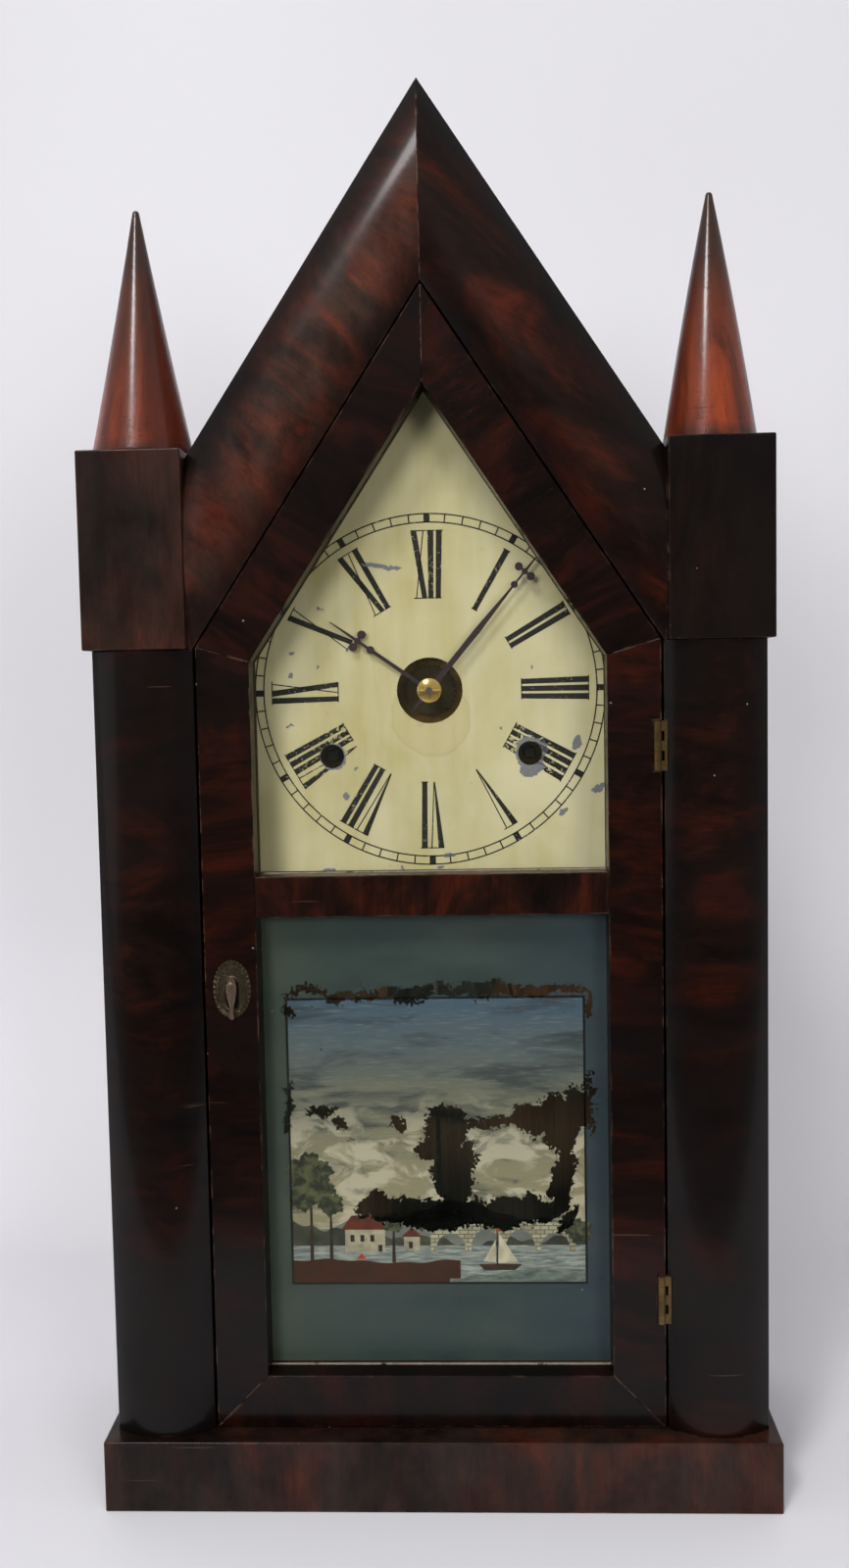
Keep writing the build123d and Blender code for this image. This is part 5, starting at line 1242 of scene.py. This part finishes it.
# %% The films of the river picture
border = surround(window_half, window_low, window_high, 11)
film_piece("border", border, "border_green", border_green)
rule = surround(picture_half + rule_width, picture_low - rule_width, picture_high + rule_width, 1)
film_piece("line", rule, "line_black", two_tones((14, 13, 13), (24, 22, 20), 90))
film_piece("sky", [rectangle(*full_width, picture_low, picture_high, 10)], "sky", sky_colours)
far_hills = waved_land(*full_width, 88, 101.5, [(4.5, 17, 1.2), (1.6, 6.1, 0.4), (0.5, 1.9, 0.0)], 9)
film_piece("far_hills", [far_hills], "far_hills", two_tones((98, 100, 90), (76, 82, 78), 60, 2))
near_hills = waved_land(*full_width, 86, 94.8, [(3.4, 21, 4.0), (1.3, 4.3, 2.0), (0.7, 1.3, 0.0)], 8)
film_piece("near_hills", [near_hills], "near_hills", two_tones((66, 66, 50), (38, 40, 32), 110))
river_colours = two_tones((84, 92, 90), (132, 138, 124), 130, 9, 0.42, 0.62)
film_piece("river", [rectangle(*full_width, picture_low, 90.5, 7)], "river", river_colours)
film_piece("bridge", [bridge(-3, 51, 88.0, 98.0, [0.8, 1.0, 1.0, 0.8], 6)], "bridge_stone", masonry)
cottages = [rectangle(-35, -20, 88, 97, 6), rectangle(-13, -7, 88.5, 94, 6)]
film_piece("cottages", cottages, "cottage_wall", two_tones((148, 142, 116), (112, 106, 88), 200))
roofs = [flat_shape(((-36.4, 96.6), (-18.6, 96.6), (-22.5, 102), (-32.5, 102)), 5),
         flat_shape(((-14, 93.8), (-6, 93.8), (-10, 97.4)), 5)]
film_piece("roofs", roofs, "roof_red", two_tones((86, 38, 24), (60, 32, 24), 160))
openings = [rectangle(x, x + 1.5, low, low + 2.6, 4)
            for x, low in ((-33, 92), (-29.3, 92), (-25.6, 92), (-22.6, 88.2), (-11.2, 89.4))]
trunks = [flat_shape(((x - 0.7, 84), (x + 0.7, 84), (x + 0.4, top), (x - 0.3, top)), 4)
          for x, top in ((-47.5, 112), (-40.2, 104), (-16.8, 97))]
film_piece("dark_strokes", openings + trunks, "umber", two_tones((30, 24, 20), (46, 36, 28), 200))
crowns = [crown(-48.0, 118.0, 7.6, 0.3, 3), crown(-44.2, 112.0, 5.2, 1.9, 2),
          crown(-50.4, 108.6, 4.6, 2.7, 1), crown(-40.0, 106.4, 4.2, 4.1, 1),
          crown(-16.8, 99.4, 3.6, 0.9, 2), crown(52.2, 96.0, 4.4, 5.0, 2)]
leaf_colours = two_tones((34, 38, 28), (74, 76, 50), 260, 1.0, 0.44, 0.60)
film_piece("trees", crowns, "leaf_green", leaf_colours)
bank = waved_land(-picture_half, 8.0, picture_low, 84.6, [(0.7, 9, 0.0), (0.3, 2.3, 1.0)], 3)
film_piece("bank", [bank], "bank_brown", two_tones((58, 29, 13), (40, 25, 14), 90, 5))
near_bank = waved_land(4.0, picture_half, picture_low, 79.4, [(1.9, 16, 5.1), (0.35, 2.0, 1.0)], 2)
film_piece("near_bank", [near_bank], "bank_grey", two_tones((98, 108, 98), (60, 70, 62), 160, 3))
sails = [flat_shape(((22, 83.6), (29.5, 84.2), (22.6, 95)), 2),
         flat_shape(((21.2, 84), (16.6, 84.4), (21.2, 92.6)), 2)]
film_piece("sails", sails, "sail_cream", two_tones((170, 164, 138), (136, 130, 108), 190))
hull = [flat_shape(((14.6, 83.4), (31, 83.4), (28.4, 81.0), (17, 81.0)), 1),
        flat_shape(((21.5, 83), (22.1, 83), (22.0, 97.2), (21.6, 97.2)), 1)]
film_piece("hull", hull, "hull_brown", two_tones((38, 26, 20), (60, 40, 26), 200))
red_touches = [flat_shape(((22, 97.1), (22, 95.7), (26, 96.2)), 1),
               flat_shape(((-30.6, 85.4), (-27.4, 85.4), (-29, 87.6)), 1)]
film_piece("red_touches", red_touches, "pennant_red", two_tones((168, 52, 26), (140, 44, 24), 90))
backing = rectangle(-window_half, window_half, window_low, window_high, 11.6)
film_piece("backing", [backing], "backing_brown", two_tones((52, 45, 38), (36, 32, 28), 40), 0.8)
for name in ("tablet_border", "tablet_backing"):
    bpy.data.objects[name].visible_shadow = False

# %% [markdown]
# ## Joints in the woodwork
# A mitre that has opened a little fills with wax and dust, and shows as a fine pale line. A pale line also
# lies along the ledge at the foot of each pane. It could be left to a texture, but the lines run from
# corner to corner of the door's boards, so each is a thin strip let into the surface. On the gable
# the strip follows the moulding's round front, which is an arc.

# %% Pale joint lines
door_face = -42.5
line_width = 0.28
door_half, opening_half = 82.0, 63.9
peak_inner, peak_outer = 405.2, 438.2
shoulder_inner, shoulder_outer = 308.8, 314.0
foot_inner, foot_outer = 45.6, 27.2
moulding_half, moulding_rise, moulding_foot = 18.15, 6.5, 440.0
ledge_half, ledge_levels = 63.3, (46.0, 231.5)


def line_finish(name, dark, pale, gaps):
    """A matt line, paler and darker along its length, and missing where the noise is under gaps."""
    dust, tree, shader, place = finish(name, Roughness=0.8)
    tone = mix(tree, noise(tree, place, 300.0), paint(*dark), paint(*pale))
    tree.links.new(tone, shader.inputs["Base Color"])
    kept = stretch(tree, noise(tree, place, 170.0, 4.0, 0.7), gaps, gaps + 0.12)
    tree.links.new(kept, shader.inputs["Alpha"])
    return dust


def strip(start, end):
    """A straight strip on the door's face from one corner of a joint to the other."""
    start, end = np.array(start), np.array(end)
    along = (end - start) / np.linalg.norm(end - start)
    side = np.array((-along[1], along[0])) * line_width / 2
    corners = np.array((start - side, end - side, end + side, start + side)) * mm
    return slab(corners, (door_face - 0.03) * mm, (door_face + 0.02) * mm)


def crown_strip(low, high):
    """Depth = the moulding's arc: sqrt(R^2 - s^2) - (R - rise), with s from the middle of its width."""
    t = np.linspace(0, 1, 40)
    radius = (moulding_half ** 2 + moulding_rise ** 2) / (2 * moulding_rise)
    s = moulding_half * (2 * t - 1)
    depth = np.sqrt(radius ** 2 - s ** 2) - (radius - moulding_rise)
    z = low + (high - low) * t
    half = line_width / 2
    loops = [(-half, 0.03), (half, 0.03), (half, -0.03), (-half, -0.03)]
    points = np.stack([np.stack((0 * t + x, door_face - depth - proud, z), -1) for x, proud in loops]) * mm
    ends = [[row * len(t) + column for row in range(4)] for column in (0, len(t) - 1)]
    return points.reshape(-1, 3), grid_faces(4, len(t), True, False).tolist() + ends


joint_places = [((0, peak_inner), (0, peak_outer))]
for side in (-1, 1):
    outer, inner = side * door_half, side * opening_half
    joint_places += [((outer, shoulder_outer), (inner, shoulder_inner)),
                     ((outer, foot_outer), (inner, foot_inner))]
joint_wax = line_finish("joint_wax", (30, 20, 16), (98, 76, 62), 0.42)
pale_ledge_line = line_finish("pale_ledge_line", (96, 84, 74), (168, 152, 136), 0.32)
add_piece("door_joints", *gathered([strip(*ends) for ends in joint_places]), joint_wax, "door", "mahogany")
# A pale line along the ledge at the foot of each pane.
ledges = []
for low in ledge_levels:
    ledge_outline = ((-ledge_half, low), (ledge_half, low), (ledge_half, low + 0.45), (-ledge_half, low + 0.30))
    ledges.append(slab(np.array(ledge_outline) * mm, pane_low.y - 0.9 * mm, pane_low.y - 0.02 * mm))
add_piece("ledge_dust", *gathered(ledges), pale_ledge_line, "door", "mahogany")
gable_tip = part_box("left_gable_moulding")[1].z / mm
add_piece("gable_joint", *crown_strip(moulding_foot, gable_tip - 0.5), joint_wax, "case", "mahogany")
print("joint lines", len(joint_places))
